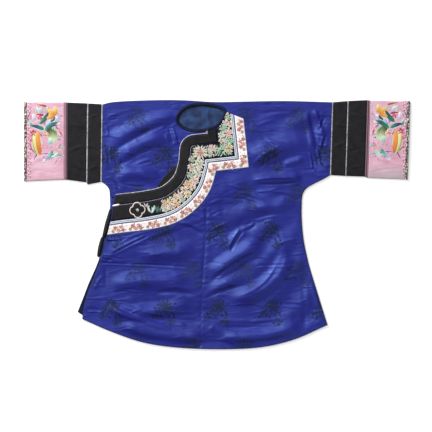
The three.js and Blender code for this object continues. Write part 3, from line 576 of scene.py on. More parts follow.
def half_piece(name, side, joint, front_edge, back_edge, front_low, back_low, height):
    """One half of the body: the front's rows from its lower edge to the shoulder, the roll over it, and the back. The
    front keeps half a gap clear of the centre seam, and the back doesn't."""
    columns = int(HALF_SIZE[0] / CELL)
    rows = int(HALF_SIZE[1] / CELL * (1.0 if side > 0 else YOKE_SHARE))
    x = np.linspace(line_at(centre_seam, 360, 1, 0), joint[0], columns)
    fold_line = np.stack([x, line_at(shoulder, x) - FOLD_RADIUS], axis=1)

    def patch(low, edge, count, clear):
        """The front or the back below the fold, from its lower edge and its side edge."""
        hem_x = line_at(centre_seam, line_at(low, SEAM_AT_HEM[0]), 1, 0) + side * clear * GAP / 2
        bottom = hem_part(low, hem_x, edge[-1, 0], columns)
        right = spaced(np.vstack([fold_line[-1:], edge]), count)
        left = seam_line(side * clear, fold_line[0, 1], bottom[0, 1], count)
        left[0, 0] = fold_line[0, 0]
        left[-1] = bottom[0]
        bottom[-1] = right[-1]
        return coons(fold_line, bottom, left, right)

    front = lifted(patch(front_low, front_edge, rows, 1), height)
    back = lifted(patch(back_low, back_edge, BACK_ROWS, 0), 0)
    angles = np.radians(np.linspace(90, -90, FOLD_POINTS))[1:-1, None]
    roll_y = fold_line[:, 1] + FOLD_RADIUS * np.cos(angles)
    roll = np.stack(np.broadcast_arrays(x, roll_y, FOLD_RADIUS * (1 + np.sin(angles))), axis=-1)
    inwards = np.concatenate([np.full(rows, -1.0), -np.sin(angles[:, 0]), np.ones(BACK_ROWS)])
    grid = turn_under(np.concatenate([front[::-1], roll, back]), LAST_COLUMN, FIRST_ROW, LAST_ROW,
                      down=np.repeat(inwards[:, None], columns, axis=1))
    faces = grid_faces(*grid.shape[:2], flip=side < 0)
    middle = grid.reshape(-1, 3)[faces].mean(axis=1)
    in_front = faces.min(axis=1) < (rows + 3) * grid.shape[1]
    opening = within(grown(neck, 3.0), middle[:, 0], middle[:, 1]) & in_front & (middle[:, 2] > 2)
    # the tint holds painted shade along the hem, the shoulder fold and the side edge
    tint = painted_edge_shade(grid[..., 0], grid[..., 1], front_edge, joint[3] - 2)
    return make_piece(name, grid, faces[~opening], damask, tint=tint)


def overlap_piece():
    """The overlap's cloth: a patch between the trims' edge, its side, its hem and the centre seam."""
    columns, rows = (int(size / CELL) for size in OVERLAP_SIZE)
    edge = rail(EDGE_OFFSET)
    seam_x = line_at(centre_seam, OVERLAP_TOP - 2, 1, 0) - GAP / 2
    edge = edge[(edge[:, 0] < seam_x) & (edge[:, 1] < OVERLAP_TOP)]
    top = spaced(np.vstack([[[seam_x, edge[0, 1]]], edge]), columns)
    right = spaced(np.vstack([top[-1:], overlap_side[overlap_side[:, 1] < top[-1, 1]]]), rows)
    hem_x = line_at(centre_seam, SEAM_AT_HEM[1], 1, 0) - GAP / 2
    bottom = hem_part(front_hem, hem_x, right[-1, 0], columns)
    bottom[-1] = right[-1]
    left = seam_line(-1, top[0, 1], bottom[0, 1], rows)
    left[0] = top[0]
    left[-1] = bottom[0]
    grid = turn_under(lifted(coons(top, bottom, left, right), front_top), LAST_COLUMN, LAST_ROW)
    # the tint holds painted shade along the hem and the side edge
    return grid_piece("overlap_silk", grid, damask, tint=painted_edge_shade(grid[..., 0], grid[..., 1], overlap_side, 30))


def seam_wall(name, edge, height):
    """The cloth that turns from front to back along a closed side seam: a shallow groove between two rounded
    edges, from the front's edge down to the floor."""
    outwards = leftwards(np.gradient(edge, axis=0))
    outwards *= np.sign((outwards * [np.sign(edge[:, :1].mean()), 0]).sum(axis=1, keepdims=True))
    share = np.linspace(0, 1, 9)
    bulge = 0.9 * np.abs(np.sin(2 * np.pi * share)) ** 0.7
    plan = edge[:, None] + outwards[:, None] * (bulge[:, None] - 0.15)
    top = height(edge[:, 0], edge[:, 1])[:, None]
    grid = np.concatenate([plan, (top * (1 - share))[..., None]], axis=-1)
    # a full tint: the whole seam wall takes the painted shade of a rounded edge
    return grid_piece(name, grid, damask, flip=edge[0, 0] < 0, tint=np.ones(grid.shape))


# ---- The neck, the facings and the rolls ----

LINING_LEVEL = 2.7
LINING_SEAM = -33  # x of the seam down the back's lining
# The vent's facing: its top, its lower corner, its width and its level.
VENT_TOP = -100
VENT_CORNER = (-415.5, -263.5)
VENT_WIDTH = 25
VENT_LEVEL = 2.9
# The crescent beyond the edge: the lengths along the edge's line that it lies between, and its reach.
CRESCENT_RUN = (156, 258)
CRESCENT_REACH = 19
PIPING_WIDTH = 2.8


def neck_lining_piece():
    """The back's lining seen through the neck: a patch between the four quarters of the neck's loop, with slack
    wrinkles and a seam down the middle of the back."""
    loop = grown(neck, 4.0)
    loop = np.vstack([loop, loop[:1]])
    quarter = len(neck) // 4
    top, right, bottom, left = (loop[k * quarter:(k + 1) * quarter + 1] for k in range(4))

    def height(x, y):
        """The lining's level with its seam and wrinkles."""
        seam = -0.7 * np.exp(-(((x - LINING_SEAM) / 1.6) ** 2))
        wrinkle = 0.45 * np.sin(x / 8.3 + np.sin(y / 9.1)) * np.sin((y + 0.4 * x) / 6.7 + 1.1 * np.sin(x / 11.3))
        return LINING_LEVEL + seam + wrinkle

    return grid_piece("neck_lining_silk", lifted(coons(top, bottom[::-1], left[::-1], right), height), lining_silk,
                      flip=True)


def neck_binding_piece():
    """The binding of the neck: a rounded strip round the loop, whose inner side goes down to the lining."""
    shares = np.linspace(0, 1, 11)
    grid = lifted(np.stack([grown(neck, NECK_BINDING_WIDTH * share - 1.5 * (1 - share)) for share in shares]),
                  lambda x, y: np.where(x < centre_seam[0, 0], yoke_top(x, y), front_top(x, y)))
    gathers = 0.18 * np.sin(np.arange(len(neck)) * 1.9) * np.sin(np.pi * shares)[:, None]
    grid[..., 2] += 2.0 * np.clip(np.minimum(shares, 1 - shares) / 0.3, 0, 1)[:, None] ** 0.5 + gathers
    grid = np.concatenate([grid[:1] - [0, 0, 2.6], grid, grid[-1:] - [0, 0, 0.6]])
    return grid_piece("neck_binding_roll", grid, navy_satin, wrap=True)


def vent_facing_piece():
    """The facing of the back's edge below the vent: rows from the edge inwards, lying on the back."""
    edge = np.vstack([spaced(right_side[right_side[:, 1] < VENT_TOP], 90), VENT_CORNER])
    plan = np.stack([edge + [0.4 + VENT_WIDTH * share, 0] for share in np.linspace(0, 1, 14)], axis=1)
    plan[..., 1] = np.maximum(plan[..., 1], line_at(back_hem, plan[..., 0]) + 0.3)
    grid = turn_under(lifted(plan, lambda x, y: VENT_LEVEL + crumple(x, y, 0.2)), FIRST_COLUMN, LAST_COLUMN,
                      FIRST_ROW, LAST_ROW, thickness=0.8, reach=2)
    return grid_piece("vent_facing_silk", grid, navy_satin, flip=True)


def edge_facing_piece():
    """The crescent of facing beyond the overlap's edge: rows from the piping to a bow that bulges to the sleeve."""
    line = rail(EDGE_OFFSET - 2 * GAP - PIPING_WIDTH)
    run = run_lengths(line)
    inner = spaced(line[(run > CRESCENT_RUN[0]) & (run < CRESCENT_RUN[1])], 60)
    outer = moved(inner, -1)
    share = np.linspace(0, 1, 60)
    reach = CRESCENT_REACH * np.sin(np.pi * share) ** 0.9 + 0.8 * np.sin(9 * share) * np.sin(np.pi * share)
    plan = inner[:, None] + (outer - inner)[:, None] * (reach[:, None] * np.linspace(0, 1, 9))[..., None]
    grid = turn_under(lifted(plan, lambda x, y: yoke_top(x, y) + 0.8), LAST_COLUMN, thickness=0.7, reach=2)
    return grid_piece("overlap_edge_facing_silk", grid, black_satin, flip=True)


def roll_piece(name, start, end, bow, width, height, base, material):
    """A soft roll of cloth lying on a level, along a bowed line: half an ellipse in section, fuller in the middle,
    with slanting wrinkles."""
    share = np.linspace(0, 1, 70)[:, None]
    around = np.linspace(0, np.pi, 15)[None]
    step = np.subtract(end, start)
    length = math.hypot(*step)
    across = np.array([-step[1], step[0]]) / length
    line = start + step * share + across * 4 * bow * share * (1 - share)
    from_end = np.minimum(share, 1 - share) * length
    full = (0.6 + 0.4 * np.sin(np.pi * share)) * np.sqrt(np.clip(from_end / (0.3 * width), 0.004, 1))
    wrinkle = 1 + 0.07 * np.sin(share * 61 + 2.2 * around) * np.sin(share * 23)
    plan = line[:, None] + (full * width * np.cos(around) / 2)[..., None] * across
    grid = np.concatenate([plan, (base + full * height * np.sin(around) * wrinkle)[..., None]], axis=-1)
    return grid_piece(name, grid, material, flip=True)


# ---- Trims ----


def strip_piece(name, low, high, across, profile, material, base=0.0):
    """A band along the trims' line between two distances from it. profile gives the height over the cloth at each
    share of the width; the long edges go down to the cloth."""
    shares = np.linspace(0, 1, across)
    rails = np.stack([rail(low + (high - low) * share) for share in shares], axis=1)
    foot = lifted(rails, lambda x, y: front_top(x, y) + base)
    top = foot + profile(shares)[:, None] * [0, 0, 1]
    grid = np.concatenate([foot[:, :1], top, foot[:, -1:]], axis=1)
    ends = grid[[0, -1]]
    ends[..., 2] = foot[[0, -1], :1, 2] - 0.2
    run = run_lengths(rails[:, across // 2])
    v = np.concatenate([[0], shares, [1]]) * (high - low)
    uv = np.stack(np.broadcast_arrays(run[:, None] * MM, v * MM), axis=-1)
    return grid_piece(name, np.concatenate([ends[:1], grid, ends[1:]]), material, flip=True,
                      uv=np.concatenate([uv[:1], uv, uv[-1:]]))


def rounded(height, sharpness=0.25):
    """A cross-section that rises quickly at both edges and is nearly level between them."""
    return lambda share: height * np.clip(np.minimum(share, 1 - share) / sharpness, 0, 1) ** 0.5


# ---- Sleeve ends ----

CUFF_PROUD = 0.3
# The parts from the joint on: name, slot, how far the front stands proud and how far it swells, then the outer end of
# the left and of the right sleeve's as x at the shoulder fold and at the underarm fold, and y at both.
SLEEVE_PARTS = [
    ("inner_piping", "white_piping", 0.7, 0.7, (349, 342.2, 367, 148), (-346, -349, 361, 127.6)),
    ("inner_black_band", "black_satin", 0, 0, (391.5, 384.6, 370.5, 145.5), (-385, -388, 363.3, 120)),
    ("outer_piping", "white_piping", 0.7, 0.7, (395.3, 388.2, 370.9, 145.3), (-389, -392, 363.6, 126.4)),
    ("outer_black_band", "black_satin", 0, 0, (449.4, 442, 373.2, 143.7), (-446.5, -447.5, 365.9, 134)),
    ("plum_braid", "plum_braid", 0.7, 0.5, (460, 453, 372, 139.5), (-457.8, -458, 367, 134.6)),
    ("embroidered_cuff", "pink_embroidered_satin", CUFF_PROUD, 0, (571, 563.4, 370, 135), (-570, -570, 367, 129.6)),
    ("edge_braid", "checked_edge_braid", 0.9, 0.4, (579, 571, 370, 134.6), (-579, -578.6, 366.6, 129.2)),
]
SLEEVE_FOLDS = (134, 368)  # y of the underarm fold and of the shoulder fold, about
SLEEVE_LOFT = 1.6
SLEEVE_POINTS = 84  # points of a section from the shoulder fold to the underarm fold


def sleeve_top(x, y, proud):
    """The height of a sleeve tube's front: lofted in the middle between its folds, with slight creases."""
    low, top = SLEEVE_FOLDS
    share = np.clip((y - low) / (top - low), 0, 1)
    fine = smoothstep(np.minimum(y - low, top - y), 6, 18)
    detail = ridges(SLEEVE_CREASES, x, y) + crumple(x, y, 0.3)
    return FRONT_TOP + proud + SLEEVE_LOFT * np.sin(np.pi * share) + fine * np.maximum(detail, -1.0)


def sleeve_piece(name, side, proud, bead, start_end, end, material, depth):
    """A flattened tube: rings from the last piece's end to its own. The section runs up the back of the underarm
    fold, over the front, round the shoulder fold and along the floor. bead rounds it along the sleeve, and its outer
    edge turns in by depth."""
    first = np.array(start_end, float) + [side * GAP, side * GAP, 0, 0]
    width = abs(end[0] - start_end[0])
    share = np.linspace(0, 1, max(6, int(width / CELL)))
    x_top, x_low, y_top, y_low = (first + (np.array(end, float) - first) * share[:, None]).T[..., None]
    swell = bead * np.sin(np.pi * share)[:, None]
    radius = (FRONT_TOP + proud) / 2
    turns = np.radians(np.linspace(-90, 90, FOLD_POINTS))
    across = np.linspace(0, 1, SLEEVE_POINTS)[1:-1]
    top, low = y_top - radius, y_low + radius
    bulge = (radius + swell * 0.4) * np.cos(turns)
    front = top + (low - top) * across
    back = low + (top - low) * across[::3]
    y = np.concatenate([top + bulge, front, low - bulge, back], axis=1)
    x = x_low + (x_top - x_low) * (y - y_low) / (y_top - y_low)
    rise = np.broadcast_to(radius * np.sin(turns), bulge.shape)
    over = sleeve_top(x[:, FOLD_POINTS:FOLD_POINTS + len(across)], front, proud) + swell
    z = np.concatenate([radius + rise, over, radius - rise, np.zeros(back.shape)], axis=1)
    grid = np.stack([x, y, z], axis=-1)
    middle_y = grid[0, :, 1].mean()

    def inner(ring, shift, inset):
        """A ring moved inwards by inset and along the sleeve by shift, for the rolled edge and what shows inside."""
        beside = np.abs(ring[:, 2] - radius) < radius * 0.9
        inwards = np.stack([np.zeros(len(ring)), np.sign(middle_y - ring[:, 1]) * beside,
                            np.where(ring[:, 2] > radius, -1, 1)], axis=1)
        return ring + inset * inwards + [shift, 0, 0]

    rims = [(0, side * 1.2, 1.1), (0, 0, 0.5), (-1, side * 0.25, 0.5), (-1, 0, 1.1), (-1, -side * depth, 1.2)]
    rings = [inner(grid[index], shift, inset) for index, shift, inset in rims]
    grid = np.concatenate([rings[:2], grid, rings[2:]])
    along = np.concatenate([[0, 0], share, [1, 1, 1]]) * width
    uv = np.stack(np.broadcast_arrays(grid[..., 1] * MM, along[:, None] * MM), axis=-1)
    return grid_piece(name + "_cloth", grid, material, wrap=True, flip=side > 0, uv=uv)


# ---- Materials ----

RGB_MIX = {"out": 2, "data_type": "RGBA"}
WAVE_SCALE = 0.31416  # a wave node's scale that gives one line each unit
FINE_PIPING_FROM = 108  # length along the fine piping, in mm, at which it comes out from under the dark bands


def linear(colour):
    """An sRGB hex colour as linear red, green, blue and full alpha."""
    parts = [int(colour[i:i + 2], 16) / 255 for i in (1, 3, 5)]
    return [p / 12.92 if p <= 0.04045 else ((p + 0.055) / 1.055) ** 2.4 for p in parts] + [1.0]


def add(tree, kind, inputs=(), out=0, **settings):
    """Adds a node with its settings, gives its inputs their values or links, and returns one of its outputs. A second
    word in kind is the node's operation."""
    kind, *operation = kind.split()
    node = tree.nodes.new("ShaderNode" + kind)
    if operation:
        node.operation = operation[0]
    for key, value in settings.items():
        setattr(node, key, value)
    for key, value in inputs.items() if isinstance(inputs, dict) else enumerate(inputs):
        if isinstance(value, bpy.types.NodeSocket):
            tree.links.new(value, node.inputs[key])
        else:
            node.inputs[key].default_value = value
    return node.outputs[out]


def new_material(name, colour, **finish):
    """A material with its constant finish on the shader's own sockets. Returns it and its tree."""
    material = bpy.data.materials.new(name)
    material.use_nodes = True
    sockets = material.node_tree.nodes["Principled BSDF"].inputs
    sockets["Base Color"].default_value = linear(colour)
    for key, value in finish.items():
        sockets[key.replace("_", " ")].default_value = value
    return material, material.node_tree


def shade(tree, **outputs):
    """Links outputs to the shader's sockets."""
    for key, value in outputs.items():
        tree.links.new(value, tree.nodes["Principled BSDF"].inputs[key.replace("_", " ")])


def place_mm(tree, source=3):
    """The place in millimetres: on the object, or for source 2 along and across a band, from its UV map."""
    return add(tree, "VectorMath SCALE", {0: add(tree, "TexCoord", out=source), 3: 1 / MM})


def patches(tree, place, size, dark, light):
    """Two near shades in soft patches of about the given size in millimetres."""
    noise = add(tree, "TexNoise", {"Vector": place, "Scale": 1 / size, "Detail": 4.0})
    share = add(tree, "MapRange", {0: noise, 1: 0.36, 2: 0.66})
    return add(tree, "Mix", {0: share, 6: linear(dark), 7: linear(light)}, **RGB_MIX)


def weave(tree, place, pitch, depth, strength, figure=0.0, wrinkles=0.0):
    """Threads that cross, pitch millimetres apart, with any figure raised on them, as the shader's relief. Beneath
    them are the small wrinkles of limp silk, sharp ridges of noise drawn out along a slant, wrinkles mm high, which
    are stronger in some patches than in others."""
    warp, weft = (add(tree, "TexWave", {0: place, 1: WAVE_SCALE / pitch, 2: 0.6}, out=1, bands_direction=way)
                  for way in "XY")
    height = add(tree, "Math MULTIPLY_ADD", (figure, 0.9, add(tree, "Math ADD", (warp, weft))))
    relief = {"Strength": strength, "Distance": depth * MM, "Height": height}
    if wrinkles:
        drawn = add(tree, "Mapping", {0: place, 2: (0, 0, -0.35), 3: (0.016, 0.05, 0.03)})
        ridged = {"Vector": drawn, "Scale": 1.0, "Detail": 3.2, "Roughness": 0.5, "Distortion": 0.8}
        creases = add(tree, "TexNoise", ridged, noise_type="RIDGED_MULTIFRACTAL")
        handled = add(tree, "TexNoise", {"Vector": place, "Scale": 1 / 95, "Detail": 2.0})
        handled = add(tree, "MapRange", {0: handled, 1: 0.4, 2: 0.6, 3: 0.35})
        creases = add(tree, "Math MULTIPLY", (creases, handled))
        relief["Normal"] = add(tree, "Bump", {"Strength": 1.0, "Distance": wrinkles * MM, "Height": creases})
    shade(tree, Normal=add(tree, "Bump", relief))


def slubs(tree, place, ground, dark, share):
    """Thicker threads here and there across the cloth: noise stretched along X, in a darker shade."""
    drawn = add(tree, "Mapping", {0: place, 3: (0.02, 0.6, 0.02)})
    noise = add(tree, "TexNoise", {"Vector": drawn, "Scale": 1.0, "Detail": 2.0})
    strength = add(tree, "MapRange", {0: noise, 1: 0.4, 2: 0.75, 3: 0.0, 4: share})
    return add(tree, "Mix", {0: strength, 6: ground, 7: linear(dark)}, **RGB_MIX)


# The repeat of the damask, in millimetres: its width, the step to the next row (half a repeat aside), and one flower.
DAMASK_WIDTH = 160.0
DAMASK_STEP = 115.0
DAMASK_START = (4.0, -246.0)
# Blooms: x, y from the flower's place, inner radius, further reach of the petals, their number, and the share that
# the lines between them leave.
DAMASK_BLOOMS = [
    (0, 0, 15, 10, 15, 0.2),
    (2, -1, 8, 6, 9, 0.36),
    (18, -46, 9, 5, 11, 0.4),
]
# Leaves and buds: x, y, turn in degrees, half length, half width.
DAMASK_LEAVES = [
    (-23, -15, 35, 9, 5), (-31, -22, 20, 8, 3.6), (-26, -30, 60, 8, 4), (-15, -26, 80, 8, 4),
    (-36, -31, 45, 6, 3), (-29, -5, -10, 6, 3.2), (-8, -32, 100, 6, 3), (22, -19, -40, 7, 3.6),
    (11, -29, -80, 7, 3.4), (27, -30, -60, 6, 3), (29, 8, 20, 5, 2.6), (-19, 21, 130, 5, 2.6),
    (31, -44, 20, 5, 2.6), (5, -50, 160, 6, 2.8),
]


def damask_figure(tree, place):
    """Flower sprays in a half-drop repeat. A bloom's edge is a radius that waves with the angle, and it is cut by
    lines between its petals. A leaf is where a mapped ellipse's radius is under 1. Noise bends the drawing and breaks
    it up. 1 on the figure and 0 on the ground."""
    noise = add(tree, "TexNoise", {"Vector": place, "Scale": 0.09, "Detail": 3.0}, out=1)
    centred = add(tree, "VectorMath SUBTRACT", (noise, (0.5, 0.5, 0.5)))
    bent = add(tree, "VectorMath ADD", (place, add(tree, "VectorMath SCALE", {0: centred, 3: 13.0})))
    across, up = add(tree, "SeparateXYZ", (bent,)).node.outputs[:2]
    # rows are counted so that a whole spray, which hangs below its flower, falls in its own row
    low = DAMASK_START[1] - 0.72 * DAMASK_STEP
    row = add(tree, "Math MULTIPLY_ADD", (up, 1 / DAMASK_STEP, -low / DAMASK_STEP))
    row = add(tree, "Math FLOOR", (row,))
    row_y = add(tree, "Math MULTIPLY_ADD", (row, DAMASK_STEP, DAMASK_START[1]))
    y = add(tree, "Math SUBTRACT", (up, row_y))
    aside = add(tree, "Math PINGPONG", (row, 1.0))
    shift = DAMASK_WIDTH * 10.5 - DAMASK_START[0]
    run = add(tree, "Math ADD", (across, add(tree, "Math MULTIPLY_ADD", (aside, DAMASK_WIDTH / 2, shift))))
    x = add(tree, "Math SUBTRACT", (add(tree, "Math MODULO", (run, DAMASK_WIDTH)), DAMASK_WIDTH / 2))
    spray = add(tree, "CombineXYZ", (x, y))
    figure = 0.0
    for bloom_x, bloom_y, inner, reach, count, line in DAMASK_BLOOMS:
        local = add(tree, "VectorMath SUBTRACT", (spray, (bloom_x, bloom_y, 0)))
        local_x, local_y = add(tree, "SeparateXYZ", (local,)).node.outputs[:2]
        radius = add(tree, "VectorMath LENGTH", (local,), out=1)
        turns = add(tree, "Math MULTIPLY", (add(tree, "Math ARCTAN2", (local_y, local_x)), count / 2))
        wave = add(tree, "Math ABSOLUTE", (add(tree, "Math COSINE", (turns,)),))
        within_edge = add(tree, "Math LESS_THAN", (radius, add(tree, "Math MULTIPLY_ADD", (wave, reach, inner))))
        off_line = add(tree, "Math GREATER_THAN", (wave, line))
        core = add(tree, "Math LESS_THAN", (radius, inner * 0.45))
        bloom = add(tree, "Math MULTIPLY", (within_edge, add(tree, "Math MAXIMUM", (off_line, core))))
        figure = add(tree, "Math MAXIMUM", (figure, bloom))
    for leaf_x, leaf_y, turn, long, wide in DAMASK_LEAVES:
        ellipse = {0: spray, 1: (leaf_x, leaf_y, 0), 2: (0, 0, math.radians(turn)), 3: (long, wide, 1)}
        local = add(tree, "Mapping", ellipse, vector_type="TEXTURE")
        leaf = add(tree, "Math LESS_THAN", (add(tree, "VectorMath LENGTH", (local,), out=1), 1.0))
        figure = add(tree, "Math MAXIMUM", (figure, leaf))
    wear_and_edge_shade = add(tree, "TexNoise", {"Vector": place, "Scale": 0.16, "Detail": 2.0})
    kept = add(tree, "MapRange", {0: wear_and_edge_shade, 1: 0.36, 2: 0.5, 3: 0.15})
    # every second row is woven fainter
    kept = add(tree, "Math MULTIPLY", (kept, add(tree, "Math MULTIPLY_ADD", (aside, -0.3, 1.0))))
    return add(tree, "Math MULTIPLY", (figure, kept))


def silk_damask():
    """Figured silk: a satin ground with a bluish lustre, and flower sprays in a duller, darker weave."""
    material, tree = new_material("blue_silk_damask", "#262a80", Specular_IOR_Level=0.95,
                                  Specular_Tint=linear("#90b4f0"))
    place = place_mm(tree)
    figure = damask_figure(tree, place)
    ground = slubs(tree, place, patches(tree, place, 130, "#211d7c", "#282a8c"), "#191760", 0.3)
    colour = add(tree, "Mix", {0: figure, 6: ground, 7: linear("#121034")}, **RGB_MIX)
    # painted shade: the silk is darker along its folded and side edges, where they turn from the light, and duller
    # there too
    wear_and_edge_shade = add(tree, "Attribute", out=2, attribute_name="tint")
    painted_shade_share = add(tree, "Math MULTIPLY", (wear_and_edge_shade, 0.75))
    colour = add(tree, "Mix", {0: painted_shade_share, 6: colour, 7: linear("#0e1030")}, **RGB_MIX)
    dull = add(tree, "MapRange", {0: add(tree, "Math MAXIMUM", (figure, wear_and_edge_shade)), 3: 0.43, 4: 0.75})
    shade(tree, Base_Color=colour, Roughness=dull)
    # the threads are about 0.3 mm apart, and are drawn 1.4 mm apart to show
    weave(tree, place, 1.4, 0.12, 0.25, figure, wrinkles=2.6)
    return material


def plain_cloth(name, dark, light, size, pitch, **finish):
    """A plain or satin weave: two near shades where it is handled or faded, and its threads as a fine relief."""
    material, tree = new_material(name, dark, **finish)
    place = place_mm(tree)
    shade(tree, Base_Color=patches(tree, place, size, dark, light))
    weave(tree, place, pitch, 0.2, 0.35)
    return material


def pink_satin():
    """Pale pink silk satin: a soft glow and a few darker slubs, with painted shade greying it towards the underarm
    fold.
    """
    material, tree = new_material("pink_silk_satin", "#eebfd0", Roughness=0.42, Sheen_Weight=0.15)
    place = place_mm(tree)
    colour = slubs(tree, place, patches(tree, place, 50, "#d8a2b8", "#ecc4d2"), "#c58aa4", 0.6)
    # painted shade of the cuff's underside towards the underarm fold; it reaches higher up on the left cuff than on
    # the right one
    up = add(tree, "SeparateXYZ", (add(tree, "Mapping", {0: place, 2: (0, 0, -0.035)}),), out=1)
    painted_shade_share = add(tree, "MapRange", {0: up, 1: 124.0, 2: 166.0, 3: 0.75, 4: 0.0})
    shade(tree, Base_Color=add(tree, "Mix", {0: painted_shade_share, 6: colour, 7: linear("#b3acb0")}, **RGB_MIX))
    weave(tree, place, 1.3, 0.15, 0.25, wrinkles=0.5)
    return material


def stepped(tree, share, stops):
    """A colour that changes in steps: each stop is a share from 0 to 1 and the colour from there on."""
    colour = add(tree, "ValToRGB", (share,))
    ramp = colour.node.color_ramp
    ramp.interpolation = "CONSTANT"
    for index, (start, shade) in enumerate(stops):
        element = ramp.elements[index] if index < 2 else ramp.elements.new(start)
        element.position = start
        element.color = linear(shade)
    return colour


def striped_braid(name, stops, width, pitch, threads_colour, depth):
    """A woven braid: stripes along it by the place across it, crossed by slanting threads in relief."""
    material, tree = new_material(name, stops[1][1], Roughness=0.55, Sheen_Weight=0.1)
    place = place_mm(tree, 2)
    across = add(tree, "SeparateXYZ", (place,), out=1)
    stripes = stepped(tree, add(tree, "Math MULTIPLY", (across, 1 / width)), stops)
    turned = add(tree, "Mapping", {0: place, 2: (0, 0, 0.6)})
    threads = add(tree, "TexWave", {0: turned, 1: WAVE_SCALE / pitch, 2: 0.4}, out=1)
    darker = add(tree, "MapRange", {0: threads, 3: 0.0, 4: depth})
    shade(tree, Base_Color=add(tree, "Mix", {0: darker, 6: stripes, 7: linear(threads_colour)}, **RGB_MIX),
          Normal=add(tree, "Bump", {"Strength": 0.5, "Distance": 0.3 * MM, "Height": threads}))
    return material


def checked_edging():
    """A narrow woven edging: slanting checks of black, white, pink and green, 2.7 mm by 3.4 mm."""
    material, tree = new_material("checked_silk_edging", "#6d6a5e", Roughness=0.65)
    place = place_mm(tree)
    cells = add(tree, "Mapping", {0: place, 2: (0, 0, 0.5), 3: (0.37, 0.29, 0.0)})
    corner = add(tree, "VectorMath FLOOR", (cells,))
    chance = add(tree, "TexWhiteNoise", (corner,), noise_dimensions="3D")
    stops = [(0.0, "#232522"), (0.36, "#e6ded6"), (0.52, "#c98fa0"), (0.68, "#5f8468"), (0.8, "#3c3a34"),
             (0.93, "#b9a67c")]
    shade(tree, Base_Color=stepped(tree, chance, stops))
    weave(tree, place, 1.3, 0.3, 0.5)
    return material


def faded_piping():
    """Grey cotton piping that runs black beside the neck, under the dark bands, and shows from the corner on."""
    material, tree = new_material("grey_cotton_piping", "#8f8d98", Roughness=0.8)
    place = place_mm(tree, 2)
    run = add(tree, "SeparateXYZ", (place,), out=0)
    shown = add(tree, "MapRange", {0: run, 1: FINE_PIPING_FROM, 2: FINE_PIPING_FROM + 16})
    grey = patches(tree, place, 9, "#77757e", "#b4b2ba")
    shade(tree, Base_Color=add(tree, "Mix", {0: shown, 6: linear("#101012"), 7: grey}, **RGB_MIX))
    weave(tree, place, 1.2, 0.2, 0.35)
    return material


def silk_floss():
    """Untwisted silk in satin stitch: each block has its own colour, and its threads show as fine ribs."""
    material, tree = new_material("silk_floss_embroidery", "#e0d0b0", Roughness=0.45, Sheen_Weight=0.15)
    colour = add(tree, "Attribute", attribute_name="tint")
    # the threads are 0.2 mm wide, and are drawn 0.9 mm apart to show
    ribs = add(tree, "TexWave", {0: place_mm(tree, 2), 1: WAVE_SCALE / 0.9, 2: 0.4}, out=1, bands_direction="Y")
    share = add(tree, "MapRange", {0: ribs, 3: 0.0, 4: 0.2})
    darker = add(tree, "Mix", {0: 1.0, 6: colour, 7: linear("#8f8a86")}, blend_type="MULTIPLY", **RGB_MIX)
    shade(tree, Base_Color=add(tree, "Mix", {0: share, 6: colour, 7: darker}, **RGB_MIX),
          Normal=add(tree, "Bump", {"Strength": 0.4, "Distance": 0.2 * MM, "Height": ribs}))
    return material


damask = silk_damask()
# the neck's thin lining, faded in patches, and the dull satin that binds it
lining_silk = plain_cloth("teal_silk_lining", "#0b1c46", "#254678", 28, 1.2, Roughness=0.6, Specular_IOR_Level=0.35)
navy_satin = plain_cloth("navy_silk_binding", "#080e24", "#101a3c", 25, 1.3, Roughness=0.7, Specular_IOR_Level=0.2)
# black satin gone slightly brown with age
black_satin = plain_cloth("black_silk_satin", "#0b0c10", "#18181d", 16, 1.6, Roughness=0.58, Specular_IOR_Level=0.25)
# the greyed cotton cords along the overlap's edge and round the sleeves, and the ribbon's ground of white silk
piping_cotton = plain_cloth("white_cotton_piping", "#8f8d98", "#c9c7ce", 9, 1.8, Roughness=0.8)
grey_piping = plain_cloth("grey_cotton_sleeve_piping", "#807e88", "#b8b6be", 9, 1.8, Roughness=0.85)
ribbon_silk = plain_cloth("white_silk_ribbon", "#f0e8ec", "#faf5f6", 20, 1.2, Roughness=0.5)
# braids of silver-blue and of plum silk, striped lengthwise
silver_silk = striped_braid("silver_blue_silk_braid", [
    (0.0, "#262b38"), (0.12, "#dfe4ee"), (0.32, "#66728e"), (0.5, "#f0f2f7"), (0.68, "#6a7592"), (0.86, "#b9c1d2")],
    11.7, 2.4, "#4c5674", 0.22)
plum_silk = striped_braid("plum_silk_braid", [
    (0.0, "#341a2a"), (0.22, "#b48a9c"), (0.32, "#4f2a40"), (0.6, "#6f4258"), (0.76, "#d8b4c2"), (0.88, "#86566c")],
    10.5, 2.6, "#2e1424", 0.3)
fine_piping = faded_piping()
floss = silk_floss()

# ---- The body ----

LEFT_SEAM_END, RIGHT_SEAM_END = -110, 86  # y at which the side seams end and the openings begin
# The underlap's side: how far it lies inside the overlap's, from which y to which, and its lower corner's x.
UNDERLAP_INSET = 2.0
UNDERLAP_SIDE = (78, -90)
UNDERLAP_CORNER = -338

